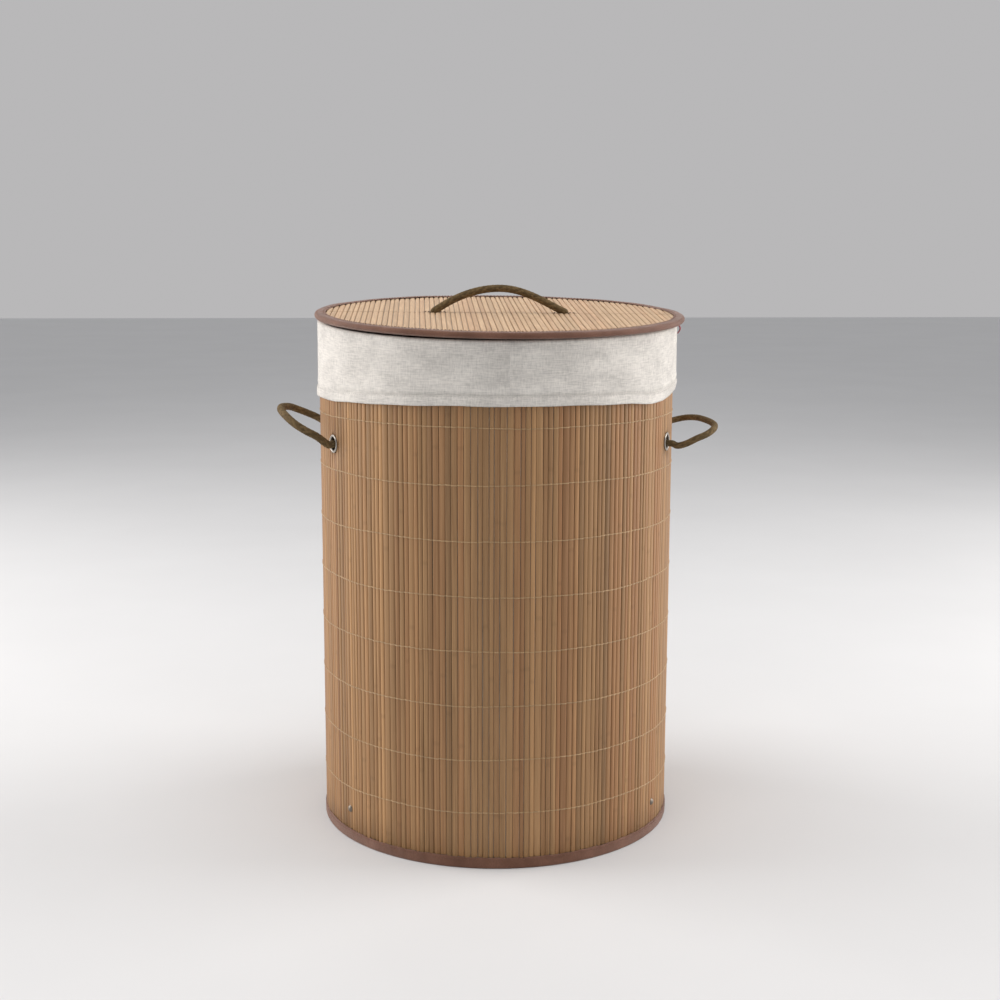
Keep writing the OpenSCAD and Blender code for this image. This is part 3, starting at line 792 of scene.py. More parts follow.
class HAMPER_OT_bottom_tape(PieceOperator, bpy.types.Operator):
    """Brown tape folded round the wall's bottom edge, with its row of stitches"""
    bl_idname = "hamper.bottom_tape"
    bl_label = "Bottom tape"

    def execute(self, context):
        wall = context.scene.hamper_wall
        colours = context.scene.hamper_colours
        steps = 720
        turn = np.linspace(0, TAU, steps, endpoint=False)
        height = TAPE_HIGH[2]
        outer = TAPE_HIGH[1]
        inner = BACKING_R - 1.6 * MM
        slat = WALL_R + 0.12 * MM
        # The section runs up the outside, over the free edge, down to the slats and back inside.
        round_out = np.linspace(-math.pi / 2, 0, 6)
        edge = wall.tape_edge
        section_r = np.concatenate([
            [inner + edge], outer - edge + edge * np.cos(round_out),
            [outer, outer, outer - 0.1 * MM, outer - 0.35 * MM, slat + 0.1 * MM],
            [slat, slat, BACKING_R - 1.0 * MM, BACKING_R - 1.0 * MM], [inner, inner, inner + 0.2 * MM]])
        section_z = np.concatenate([
            [0.0], edge + edge * np.sin(round_out),
            [0.35 * height, 0.65 * height, 0.86 * height, 0.97 * height, height - 0.05 * MM],
            [0.9 * height, 1.2 * MM, 1.2 * MM, 0.95 * height], [height, 0.5 * height, 0.4 * MM]])
        top = smoothstep(section_z, 0.2 * height, height)
        outside = (section_r > slat + 0.05 * MM) * 1.0
        a = turn[:, None]
        pucker = waves(a + 0.04 * section_z / height, (61, 97, 143, 211), 5)
        radius = section_r - outside * wall.tape_pucker * (0.25 + top) * (1 + pucker)
        rise = 0.35 * MM * top * (waves(a + 0 * section_z, (7, 23, 67), 6) - 1)
        points = polar(np.maximum(radius, inner), section_z + rise, turn)[None]
        faces, uvs = tubes(points, wrap_rows=True, uv_step=(TAU * WALL_R / steps, 1.3 * MM))
        brown = tape("brown_tape", tuple(colours.tape))
        piece = make_piece("bottom_edge_tape", points, faces, brown, uvs)
        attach(piece, "hamper")
        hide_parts("bottom_binding")
        sewn = stitch_ring("bottom_tape_stitches", count=300, radius=outer - 0.3 * MM,
                           height=height - 2.3 * MM, size=2.4 * MM, thick=0.26 * MM,
                           tint=tinted(colours.tape, 1.25), finish="tape_stitching", seed=7)
        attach(sewn, "hamper")
        return {"FINISHED"}


def stitch_ring(name, count, radius, height, size, thick, tint, finish, seed, follow=None):
    """A ring of stitches round the wall, a little uneven in place and slant. follow gives the radius
    and the height of each stitch from its turn and its rise, where they aren't the same all round."""
    rng = np.random.default_rng(seed)
    turn = np.linspace(0, TAU, count, endpoint=False) + rng.normal(0, 0.0006, count)
    level = height + rng.normal(0, 0.12 * MM, count)
    reach, level = (np.full(count, radius), level) if follow is None else follow(turn, level)
    centres = polar(reach[:, None], level[:, None], turn)[:, 0]
    outward = np.stack([np.sin(turn), -np.cos(turn), 0 * turn], -1)
    along = np.stack([np.cos(turn), np.sin(turn), rng.normal(0, 0.05, count)], -1)
    along /= np.linalg.norm(along, axis=1)[:, None]
    points = bead_batch(centres, along, outward, size, thick)
    faces, uvs = tubes(points)
    return make_piece(name, points, faces, sewing_thread(finish, tint), uvs)


class HAMPER_OT_eyelets(PieceOperator, bpy.types.Operator):
    """Four nickel eyelets with a rolled rim and a barrel through the wall"""
    bl_idname = "hamper.eyelets"
    bl_label = "Eyelets"

    def execute(self, context):
        wall = context.scene.hamper_wall
        colours = context.scene.hamper_colours
        bore = wall.eyelet_bore / 2
        rim = wall.eyelet_diameter / 2
        middle, half = (bore + rim) / 2, (rim - bore) / 2
        arc = np.linspace(0, math.pi, 9)
        # Section over the rolled rim, down inside the barrel and back up outside it.
        sheet = 0.5 * MM
        section_r = np.concatenate([
            middle + half * np.cos(arc), [bore, bore, bore + sheet, bore + sheet]])
        section_h = np.concatenate([
            1.25 * MM * np.sin(arc) ** 0.8, [-2.0 * MM, -4.2 * MM, -4.2 * MM, -0.1 * MM]])
        spin = np.linspace(0, TAU, 56, endpoint=False)
        base = WALL_R + 0.05 * MM
        batch = []
        for turn in eyelet_turns(wall):
            out = np.array([math.sin(turn), -math.cos(turn), 0.0])
            side = np.array([math.cos(turn), math.sin(turn), 0.0])
            up = np.array([0.0, 0.0, 1.0])
            ring = side * np.cos(spin)[:, None] + up * np.sin(spin)[:, None]
            points = (base + section_h)[None, :, None] * out + section_r[None, :, None] * ring[:, None]
            batch.append(points + up * EYELET_Z)
        points = np.stack(batch)
        faces, uvs = tubes(points, wrap_rows=True, uv_step=(1 * MM, 1 * MM))
        nickel = metal("nickel_plate", tuple(colours.nickel), 0.3)
        piece = make_piece("nickel_eyelets", points, faces, nickel, uvs)
        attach(piece, "hamper")
        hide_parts("eyelets")
        return {"FINISHED"}


# ---- Liner ----


def lid_matrix(lid):
    """Turn and place of the resting lid: its frame's origin is the centre of its underside."""
    turn = Euler((lid.tilt, lid.roll, 0.0)).to_matrix() @ Matrix.Rotation(lid.spin, 3, "Z")
    centre = (LID_LOW + LID_HIGH) / 2
    lift = turn @ Matrix.Translation((0, 0, lid.thickness / 2)).to_translation()
    return Matrix.Translation(centre - np.array(lift)) @ turn.to_4x4()


def on_lid(lid, points):
    """Points of the lid's frame, put where the lid rests."""
    matrix = np.array(lid_matrix(lid))
    return points @ matrix[:3, :3].T + matrix[:3, 3]


def lid_underside(lid, x, y):
    """Height of the lid's underside over a place: its plane, solved for z."""
    matrix = np.array(lid_matrix(lid))
    normal, origin = matrix[:3, 2], matrix[:3, 3]
    return origin[2] - (normal[0] * (x - origin[0]) + normal[1] * (y - origin[1])) / normal[2]


def cuff_radius(liner, turn, height):
    """Radius of the cuff's middle surface: it hangs close to the wall, a little over to the right,
    with soft ripples that grow towards the hem and slant with the height. The hem stands out, the
    line of stitches over it is drawn in, and the right end of the hem is tucked in."""
    low, high = CUFF_LOW[2], CUFF_HIGH[2]
    down = 1 - np.clip((height - low) / (high - low), 0, 1)
    middle = CUFF_LOW_R + 0.3 * MM
    slow = waves(turn + 0.25 * (height - low), (3, 5, 8, 13), 31)
    quick = waves(turn + 0.6 * (height - low), (29, 41, 57), 32)
    hem_line = cuff_edge(liner, turn) + liner.hem_height
    hem = 1 - smoothstep(height, hem_line - 1.2 * MM, hem_line)
    crease = np.exp(-((height - hem_line) / (1.5 * MM)) ** 2)
    ridge = np.exp(-((height - hem_line - 4 * MM) / (2 * MM)) ** 2)
    pressed = np.exp(-((height - high + 13 * MM) / (1.8 * MM)) ** 2)
    pucker = waves(turn, (97, 131, 167), 33)
    tuck = smoothstep(np.sin(turn), 0.75, 0.97) * (1 - smoothstep(height, low, low + 0.013))
    radius = (middle + liner.cuff_shift * np.sin(turn) + liner.ripple * (0.2 + down) * slow
              + 0.3 * liner.ripple * (0.3 + down) * quick + 0.9 * MM * hem + 0.5 * MM * ridge
              - 0.25 * MM * pressed - 0.8 * MM * crease * (1 + 0.5 * pucker) - 2.2 * MM * tuck)
    return np.maximum(radius, WALL_R + 0.85 * MM)


def cuff_edge(liner, turn):
    """Height of the cuff's lower edge: with s the sine of the turn it falls by droop * s^2 towards
    the two sides, hangs in a bulge right of the front, is pulled up at the far right, and wanders
    a little."""
    s = np.sin(turn)
    return (CUFF_LOW[2] + liner.cloth / 2 + liner.cuff_arch - liner.cuff_droop * s ** 2
            - liner.cuff_bulge * np.exp(-((s - 0.75) / 0.1) ** 2)
            + liner.cuff_pull * smoothstep(s, 0.84, 1.0)
            + liner.edge_wave * waves(turn, (3, 5, 11, 19), 36))


def liner_middle(liner, lid, turn):
    """Radius and height of the liner's middle surface, from the bag's foot to the cuff's edge.

    The bag's radius is its straight wall less pleats, products of two slow ripples, that fade out
    towards the neck; over the rim the cloth follows a half ellipse under the lid, and hangs
    lower by sag * cos^2 at its loosest side; outside it is the cuff."""
    a = turn[:, None]
    foot = BAG_LOW[2] + 1.2 * MM
    bag_r = BAG_HIGH[1] - 0.9 * MM
    top_r = BACKING_R - 2.5 * MM
    neck = EYELET_Z + 16.5 * MM
    shoulder = RIM_Z - 14 * MM
    sag = liner.fold_sag * np.clip(np.cos(a - liner.sag_side), 0, 1) ** 2
    crest_r = 173.5 * MM
    top = lid_underside(lid, crest_r * np.sin(a), -crest_r * np.cos(a)) - 0.5 * MM - liner.cloth / 2 - sag
    arch = 2.7 * MM
    up = np.linspace(0, 1, 40)[None, :]
    z_bag = foot + (shoulder - foot) * up + 0 * a
    climb = smoothstep(z_bag, neck, shoulder)
    body = smoothstep(z_bag, foot, foot + 0.05) * (1 - smoothstep(z_bag, neck - 0.08, shoulder))
    wide = 0.55 + 0.45 * waves(a + 0.5 * z_bag, (9, 14, 23), 34)
    narrow = 0.5 + 0.5 * waves(a - 0.3 * z_bag, (31, 38), 35)
    fold = wide * narrow
    r_bag = bag_r + (top_r - bag_r) * climb - liner.pleat * body * np.clip(0.35 + fold, 0, 1.6)
    r_bag = r_bag - 2.5 * MM * (1 - smoothstep(z_bag, foot, foot + 0.012))
    rise = np.linspace(0, 1, 7)[None, 1:]
    z_rise = shoulder + (top - arch - shoulder) * rise
    r_rise = top_r + 0 * z_rise
    over = np.linspace(math.pi, 0, 11)[None, 1:-1]
    cuff_top = cuff_radius(liner, a, top - arch)
    centre, reach = (cuff_top + top_r) / 2, (cuff_top - top_r) / 2
    z_over = top - arch + arch * np.sin(over)
    r_over = centre + reach * np.cos(over)
    edge = cuff_edge(liner, a)
    down = np.linspace(0, 1, 34)[None, :] ** 0.85
    z_cuff = top - arch + (edge - top + arch) * down
    r_cuff = cuff_radius(liner, a, z_cuff)
    radius = np.concatenate([r_bag, r_rise, r_over, r_cuff], 1)
    height = np.concatenate([z_bag, z_rise, z_over, z_cuff], 1)
    return radius, height


def thicken(radius, height, thick):
    """Two surfaces half a thickness to each side of a middle one, along its normal in the section,
    joined into closed sections: out along one and back along the other."""
    step_r = np.gradient(radius, axis=1)
    step_z = np.gradient(height, axis=1)
    size = np.hypot(step_r, step_z)
    off_r, off_z = -step_z / size * thick / 2, step_r / size * thick / 2
    radius = np.concatenate([radius + off_r, (radius - off_r)[:, ::-1]], 1)
    height = np.concatenate([height + off_z, (height - off_z)[:, ::-1]], 1)
    return radius, height


class HAMPER_OT_liner(PieceOperator, bpy.types.Operator):
    """Linen bag, folded out over the rim as a cuff with a stitched hem"""
    bl_idname = "hamper.liner"
    bl_label = "Liner"

    def execute(self, context):
        liner = context.scene.hamper_liner
        lid = context.scene.hamper_lid
        colours = context.scene.hamper_colours
        turn = np.linspace(0, TAU, 420, endpoint=False)
        radius, height = liner_middle(liner, lid, turn)
        stretch = np.hypot(np.diff(radius), np.diff(height))
        hem_line = cuff_edge(liner, turn)[:, None] + liner.hem_height
        hem = 1 - smoothstep(height, hem_line - 0.4 * MM, hem_line + 0.8 * MM)
        outside = radius > WALL_R
        thick = liner.cloth + liner.hem_swell * hem * outside
        both_r, both_z = thicken(radius, height, thick)
        points = polar(both_r, both_z, turn)[None]
        # Painted shade: these crease values darken the cloth along the hem's crease and, more faintly,
        # along the pressed line near the top.
        crease = (np.exp(-((both_z - hem_line - 0.3 * MM) / (1.1 * MM)) ** 2)
                  + 0.35 * np.exp(-((both_z - CUFF_HIGH[2] + 13 * MM) / (1.6 * MM)) ** 2))
        faces, uvs = tubes(points, wrap_rows=True)
        # Corner positions on the cloth: metres round the wall and metres along the section.
        out = np.concatenate([[0.0], np.cumsum(stretch.mean(0))])
        way = np.concatenate([out, out[::-1], out[:1]])
        corner = uvs[0]
        round_wall = corner[..., 0] * TAU * WALL_R / len(turn)
        uvs = [np.stack([round_wall, way[corner[..., 1].astype(int)]], -1)]
        linen = woven("linen_cloth", tuple(colours.linen), liner.weave, depth=0.18 * MM, slub=0.27,
                      sheen=0.25)
        cloth = make_piece("linen_liner", points, faces, linen, uvs, {"crease": crease.ravel()})
        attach(cloth, "liner")
        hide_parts("liner_wall", "liner_fold", "liner_cuff", "liner_hem")
        self.add_floor(liner, linen)

        def on_cuff(turns, rises):
            levels = cuff_edge(liner, turns) + liner.hem_height - 0.9 * MM + rises
            return cuff_radius(liner, turns, levels) + liner.cloth / 2 + 0.35 * MM, levels

        sewn = stitch_ring("hem_stitches", count=340, radius=0, height=0, size=liner.stitch,
                           thick=0.24 * MM, tint=tinted(colours.linen, 0.86), finish="hem_thread",
                           seed=8, follow=on_cuff)
        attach(sewn, "liner")
        return {"FINISHED"}

    def add_floor(self, liner, linen):
        """Round bottom of the bag: a level disc plus soft creases, ripples of the turn and the
        reach s times 4 s (1 - s), which die out in the middle and at the edge."""
        rim = BAG_HIGH[1] - 1.2 * MM
        turn = np.linspace(0, TAU, 180, endpoint=False)
        step = np.linspace(0.02, 1, 30)[None, :] ** 0.8
        a = turn[:, None]
        crease = waves(a + 1.4 * step, (5, 9, 16), 37) * step * (1 - step) * 4
        radius = rim * step + 0 * a
        height = BAG_LOW[2] + 0.9 * MM + 0.9 * MM * np.clip(0.4 + crease, 0, 1.5)
        both_r, both_z = thicken(radius, height, liner.cloth)
        points = polar(both_r, np.maximum(both_z, BAG_LOW[2]), turn)[None]
        faces, uvs = tubes(points, wrap_rows=True)
        way = np.concatenate([step[0], step[0][::-1], step[0][:1]]) * rim
        spoke = uvs[0][..., 0] * TAU / len(turn)
        reach = way[uvs[0][..., 1].astype(int)]
        uvs = [np.stack([reach * np.cos(spoke), reach * np.sin(spoke)], -1)]
        cols = both_r.shape[1]
        # Two hub faces take the place of the quads between the first and the last column.
        inner = np.stack([np.arange(len(turn)) * cols, np.arange(len(turn)) * cols + cols - 1])
        ends = np.isin(faces[0] % cols, (0, cols - 1)).all(1)
        faces = [faces[0][~ends], inner[:1, ::-1], inner[1:]]
        uvs[0] = uvs[0][~ends]
        uvs += [np.zeros((1, len(turn), 2)), np.zeros((1, len(turn), 2))]
        floor = make_piece("linen_liner_floor", points, faces, linen, uvs)
        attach(floor, "liner")
        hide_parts("liner_base")


# ---- Lid ----


class HAMPER_OT_lid_slats(PieceOperator, bpy.types.Operator):
    """Paler bamboo slats of the lid, cut to its round edge"""
    bl_idname = "hamper.lid_slats"
    bl_label = "Lid slats"

    def execute(self, context):
        lid = context.scene.hamper_lid
        colours = context.scene.hamper_colours
        wall = context.scene.hamper_wall
        ropes = context.scene.hamper_ropes
        reach, edges, lifts = lid_slat_layout(lid)
        hole = ropes.diameter / 2 + 0.25 * MM
        holes = [(side * lid.hole_spacing / 2, 0.0, hole) for side in (-1, 1)]

        def ends(places):
            # Where the slanting line x = place + slope * y meets the circle x^2 + y^2 = reach^2.
            slope = slat_slope(lid, reach, places)
            square = 1 + slope ** 2
            chord = np.sqrt(np.maximum(reach ** 2 * square - places ** 2, (2 * MM) ** 2))
            return (-places * slope - chord) / square, (-places * slope + chord) / square

        centre, across, outward, along, seeds = slat_bodies(
            edges, lifts, lid.slat_gap, lid.slat_crown, lid.slat_thickness, wall.slat_bow,
            ends, holes, 12, 51)
        slope = slat_slope(lid, reach, centre + across)
        points = np.stack([centre + across + slope * along, along, lid.slat_top + outward], -1)
        faces, uvs = tubes(points, uv_step=(30 * MM, 1 * MM))
        material = bamboo("lid_bamboo_finish", tuple(colours.lid_dark), tuple(colours.lid_light), 1,
                          lid.slat_variety)
        piece = make_piece("bamboo_lid_slats", on_lid(lid, points), faces, material, uvs,
                           {"slat_seed": seeds.reshape(-1, 3)})
        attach(piece, "lid")
        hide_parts("lid_slats")
        return {"FINISHED"}


def lid_slat_layout(lid):
    """Radius of the slatted panel, the slats' edges across it, and their lifts."""
    reach = (LID_HIGH[0] - LID_LOW[0]) / 2 - 5.2 * MM
    edges = slat_edges(lid.slat_count, 2 * reach, lid.slat_spread, 50) - reach
    return reach, edges, slat_lifts(lid.slat_count, lid.slat_lift, 52) - 0.1 * MM


def slat_slope(lid, reach, x):
    """How far the lid's slats go sideways for each metre of their length: the panel is skewed a
    little, its left part more so, and its right edge the other way."""
    left = lid.left_fan * smoothstep(-x, 0.05 * reach, 0.65 * reach)
    right = lid.right_fan * smoothstep(x, 0.15 * reach, reach)
    return -np.tan(lid.lean + left - right)


class HAMPER_OT_lid_tape(PieceOperator, bpy.types.Operator):
    """Brown tape folded round the lid's wire edge, its stitches and its loose end"""
    bl_idname = "hamper.lid_tape"
    bl_label = "Lid tape"

    def execute(self, context):
        lid = context.scene.hamper_lid
        colours = context.scene.hamper_colours
        steps = 720
        turn = np.linspace(0, TAU, steps, endpoint=False)
        outer = (LID_HIGH[0] - LID_LOW[0]) / 2 * 1.0004
        half = lid.thickness / 2
        bead = outer - half
        inner = outer - lid.tape_width
        midway = (inner + bead) / 2
        skin = lid.tape_skin
        over = np.linspace(-math.pi / 2, math.pi / 2, 11)
        back = np.linspace(math.pi / 2, -math.pi / 2, 7)
        # The section goes along the bottom flap, round the edge, along the top flap and back inside.
        section_r = np.concatenate([
            [inner, inner + 0.3 * MM, midway], bead + half * np.cos(over),
            [midway + 1 * MM, inner + 2 * MM, inner + 0.5 * MM, inner, inner + 0.2 * MM, midway],
            bead + (half - skin) * np.cos(back), [midway, inner + 0.2 * MM]])
        top = lid.thickness
        section_z = np.concatenate([
            [0.5 * skin, 0.1 * skin, 0.0], half + half * np.sin(over),
            [top - 0.12 * MM, top - 0.05 * MM, top - 0.15 * MM, top - 0.5 * skin],
            [top - skin, top - skin], half + (half - skin) * np.sin(back), [skin, skin]])
        a = turn[:, None]
        inward = 1 - smoothstep(section_r, inner, bead)
        upper = (section_z > half) * 1.0
        creases = waves(a + 0.01 * inward, (83, 127, 191, 239), 55)
        soft = waves(a, (5, 9, 17), 56)
        height = section_z + upper * inward * (0.16 * MM * creases) + 0.22 * MM * soft * upper
        radius = section_r + 0.25 * MM * waves(a, (19, 37, 71), 57) * inward + 0.18 * MM * (soft - 1)
        points = polar(radius, height, turn)[None]
        faces, uvs = tubes(points, wrap_rows=True, uv_step=(TAU * outer / steps, 1.2 * MM))
        brown = tape("brown_tape", tuple(colours.tape))
        piece = make_piece("lid_edge_tape", on_lid(lid, points), faces, brown, uvs)
        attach(piece, "lid")
        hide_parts("lid_binding")
        self.add_stitches(lid, inner, top, colours)
        self.add_tail(lid, outer, colours)
        return {"FINISHED"}

    def add_stitches(self, lid, inner, top, colours):
        """Stitches along the top flap, lying round the lid and standing out upwards."""
        count = 300
        rng = np.random.default_rng(58)
        turn = np.linspace(0, TAU, count, endpoint=False) + rng.normal(0, 0.0006, count)
        reach = inner + 1.9 * MM + rng.normal(0, 0.08 * MM, count)
        centres = polar(reach[:, None], np.full((count, 1), top + 0.1 * MM), turn)[:, 0]
        along = np.stack([np.cos(turn), np.sin(turn), 0 * turn], -1)
        outward = np.tile([0.0, 0.0, 1.0], (count, 1))
        points = on_lid(lid, bead_batch(centres, along, outward, 2.4 * MM, 0.24 * MM))
        faces, uvs = tubes(points)
        sewn = make_piece("lid_tape_stitches", points, faces,
                          sewing_thread("tape_stitching", tinted(colours.tape, 1.25)), uvs)
        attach(sewn, "lid")

    def add_tail(self, lid, outer, colours):
        """Loose end of tape: a narrow strip that drops from the underside and hooks outwards."""
        t = np.linspace(0, 1, 18)[:, None]
        spin = np.linspace(0, TAU, 8, endpoint=False)
        turn = math.pi / 2 + lid.tail_angle
        radius = outer - 3.4 * MM + 2.2 * MM * np.sin(math.pi * t) + 0.75 * MM * np.cos(spin)
        height = 0.8 * MM - 8.0 * MM * t ** 1.2 + 0.3 * MM * np.sin(spin)
        side = 0.4 * MM * np.sin(3 * t) + 1.2 * MM * np.sin(spin)
        points = np.stack([
            radius * math.sin(turn) + side * math.cos(turn),
            -radius * math.cos(turn) + side * math.sin(turn), height], -1)[None]
        faces, uvs = tubes(points, uv_step=(0.5 * MM, 0.4 * MM))
        piece = make_piece("tape_tail", on_lid(lid, points), faces,
                           sewing_thread("red_brown_thread", tuple(colours.tail)), uvs)
        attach(piece, "lid")
        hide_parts("lid_binding_tail")


class HAMPER_OT_lid_thread(PieceOperator, bpy.types.Operator):
    """Row of thread across the lid's slats, and the dark ties beside the handle's holes"""
    bl_idname = "hamper.lid_thread"
    bl_label = "Lid thread"

    def execute(self, context):
        lid = context.scene.hamper_lid
        colours = context.scene.hamper_colours
        ropes = context.scene.hamper_ropes
        reach, edges, lifts = lid_slat_layout(lid)
        width = np.diff(edges)
        share_of_slat = np.array([0.0, 0.2, 0.5, 0.8])
        depth = np.array([-0.95, -0.22, -0.08, -0.22]) * MM
        x = (edges[:-1, None] + width[:, None] * share_of_slat).ravel()
        z = (lid.slat_top + lifts[:, None] + depth).ravel()
        hole, clear = lid.hole_spacing / 2, ropes.diameter / 2 + 0.6 * MM
        spin = np.linspace(0, TAU, 6, endpoint=False)
        keep = thread_stretches(x, hole, clear, reach - 7 * MM)
        points, faces, uvs = [], [], []
        start = 0
        for span in keep:
            ring = np.stack([
                np.repeat(x[span][:, None], 6, 1),
                0.25 * MM * np.sin(x[span] * 90)[:, None] + 0.36 * MM * np.cos(spin),
                z[span][:, None] + 0.18 * MM * (0.6 + np.sin(spin))], -1)[None]
            one, uv = tubes(ring, uv_step=(1 * MM, 0.5 * MM))
            faces += [group + start for group in one]
            uvs += uv
            points.append(ring.reshape(-1, 3))
            start += ring.shape[1] * 6
        row = make_piece("lid_stitch_row", on_lid(lid, np.concatenate(points)), faces,
                         sewing_thread("lid_row_thread", tinted(colours.lid_dark, 0.95)), uvs)
        ties = self.ties(lid, hole, clear)
        faces, uvs = tubes(ties)
        dark = make_piece("lid_handle_ties", on_lid(lid, ties), faces,
                          sewing_thread("dark_thread", tuple(colours.dark_thread)), uvs)
        for piece in (row, dark):
            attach(piece, "lid")
        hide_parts("lid_thread")
        return {"FINISHED"}

    def ties(self, lid, hole, clear):
        """Two short dark stitches on each side of each hole, across the slats."""
        gaps = np.array([-clear - 5.2 * MM, -clear - 1.6 * MM, clear + 1.6 * MM, clear + 5.2 * MM])
        x = (np.array([-hole, hole])[:, None] + gaps).ravel()
        y = 0.35 * MM * np.array([1, -1, 1, -1] * 2)
        centres = np.stack([x, y, np.full(8, lid.slat_top + 0.05 * MM)], -1)
        along = np.tile([1.0, 0.0, 0.0], (8, 1))
        outward = np.tile([0.0, 0.0, 1.0], (8, 1))
        return bead_batch(centres, along, outward, 3.0 * MM, 0.42 * MM)


def thread_stretches(x, hole, clear, reach):
    """Index lists of the thread's stretches: left of the holes, between them and right of them."""
    limits = [(-reach, -hole - clear), (-hole + clear, hole - clear), (hole + clear, reach)]
    return [np.flatnonzero((x > low) & (x < high)) for low, high in limits]


# ---- Ropes ----


# Routes of the side ropes from the front pivot to the rear one, in millimetres outwards, in shares
# of half the pivots' distance backwards, and in millimetres upwards.
LEFT_ROUTE = [
    (0, -1, 1.4), (10, -1.06, 9.6), (20, -1.06, 15), (30, -1.02, 21), (38, -0.87, 26.2),
    (45, -0.5, 28.8), (48.5, -0.05, 28.2), (48.5, 0.35, 26.5), (43.5, 0.78, 23),
    (37, 0.97, 19), (28, 1.07, 14.5), (18, 1.08, 10), (8, 1.05, 4.5), (0, 1, 0),
]
RIGHT_ROUTE = [
    (0, -1, 0), (5, -1.03, -1.8), (13, -1.06, 0.6), (23, -1.07, 5.5), (33, -1.02, 9),
    (42, -0.84, 12), (48.5, -0.5, 12.8), (51, -0.1, 12.2), (51, 0.3, 11.2), (48.5, 0.68, 10),
    (43, 0.93, 8.2), (36, 1.06, 6), (24, 1.08, 3), (10, 1.05, 0.8), (0, 1, 0),
]


def joint_place(name):
    """Point on the axis of one of the frame's joints."""
    return np.array(next(j for j in frame["joints"] if j["name"] == name)["pos_m"])


def catmull_rom(points, steps):
    """A smooth line through all the points: each stretch is the cubic
    0.5 (2b + (c - a) t + (2a - 5b + 4c - d) t^2 + (3b - a - 3c + d) t^3)."""
    padded = np.vstack([2 * points[0] - points[1], points, 2 * points[-1] - points[-2]])
    a, b, c, d = (padded[i:len(padded) - 3 + i, None] for i in range(4))
    t = np.linspace(0, 1, steps, endpoint=False)[None, :, None]
    line = 0.5 * (2 * b + (c - a) * t + (2 * a - 5 * b + 4 * c - d) * t ** 2
                  + (3 * b - a - 3 * c + d) * t ** 3)
    return np.vstack([line.reshape(-1, 3), points[-1:]])


def even_line(line, step):
    """The same line with its points a step apart."""
    way = np.concatenate([[0], np.cumsum(np.linalg.norm(np.diff(line, axis=0), axis=1))])
    places = np.linspace(0, way[-1], max(8, int(way[-1] / step)))
    return np.stack([np.interp(places, way, line[:, i]) for i in range(3)], -1), places


def cross_frames(line):
    """Two unit vectors across a line at each point: the first is square to the line and to the
    direction in which its points spread least, and the second is square to the line and the first."""
    tangent = np.gradient(line, axis=0)
    tangent /= np.linalg.norm(tangent, axis=1)[:, None]
    flattest = np.linalg.svd(line - line.mean(0), full_matrices=False)[2][-1]
    side = np.cross(tangent, flattest)
    side /= np.linalg.norm(side, axis=1)[:, None]
    return side, np.cross(tangent, side)


def braided_tube(line, places, radius, ropes):
    """Surface of a braided rope round a line.

    With p = carriers * angle / turn, the strands of the two directions are the whole numbers of
    p + s / pitch and p - s / pitch. Where their sum is even the first lies on top, otherwise the
    second. A strand's height is the circle arc across it times a sine hump along it."""
    cols = 6 * ropes.carriers
    p = np.arange(cols)[None, :] * ropes.carriers / cols
    s = places[:, None] / ropes.braid_pitch
    one, two = p + s, p - s
    cell_one, cell_two = np.floor(one), np.floor(two)
    across_one, across_two = one - cell_one, two - cell_two
    first_on_top = (cell_one + cell_two) % 2 < 0.5
    across = np.where(first_on_top, across_one, across_two)
    along = np.where(first_on_top, across_two, across_one)
    arc = np.sqrt(np.clip(1 - (2 * across - 1) ** 2, 0, 1))
    hump = 0.45 + 0.55 * np.sin(math.pi * along)
    groove = arc * hump
    spin = np.arange(cols) * TAU / cols
    side, up = cross_frames(line)
    reach = radius - ropes.braid_depth + ropes.braid_depth * groove
    ring = side[:, None] * np.cos(spin)[None, :, None] + up[:, None] * np.sin(spin)[None, :, None]
    number = np.where(first_on_top, cell_one % ropes.carriers, cell_two % ropes.carriers + 31)
    strand = np.modf(np.abs(np.sin(number * 12.9898) * 437.585))[0]
    return line[:, None] + ring * reach[:, :, None], strand, groove


def rope_piece(name, lines, ropes, material):
    """One mesh of braided rope along each of several routes (line, radius, whether it is closed)."""
    points, faces, uvs, strands, grooves = [], [], [], [], []
    start = 0
    for route, radius, closed in lines:
        line, places = even_line(route, ropes.step)
        if closed:
            line, places = line[:-1], places[:-1]
        surface, strand, groove = braided_tube(line, places, radius, ropes)
        one, uv = tubes(surface[None], wrap_rows=closed, uv_step=(ropes.step, 0.5 * MM))
        faces += [group + start for group in one]
        uvs += uv
        points.append(surface.reshape(-1, 3))
        strands.append(strand.ravel())
        grooves.append(groove.ravel())
        start += surface.shape[0] * surface.shape[1]
    # The groove attribute, the strands' height, also sets the braid material's painted shade between
    # strands.
    return make_piece(name, np.concatenate(points), faces, material, uvs,
                      {"strand": np.concatenate(strands), "groove": np.concatenate(grooves)})


def knot_line(centre, axis, size):
    """A tight trefoil round an axis: (sin t + 2 sin 2t, cos t - 2 cos 2t, -1.3 sin 3t) times size."""
    t = np.linspace(0, TAU, 161)
    x = np.sin(t) + 2 * np.sin(2 * t)
    y = np.cos(t) - 2 * np.cos(2 * t)
    shape = np.stack([x, y, -1.3 * np.sin(3 * t)], -1)
    axis = np.array(axis) / np.linalg.norm(axis)
    side = np.cross(axis, (0.31, 0.22, 0.93))
    side /= np.linalg.norm(side)
    return centre + size * shape @ np.stack([side, np.cross(axis, side), axis])


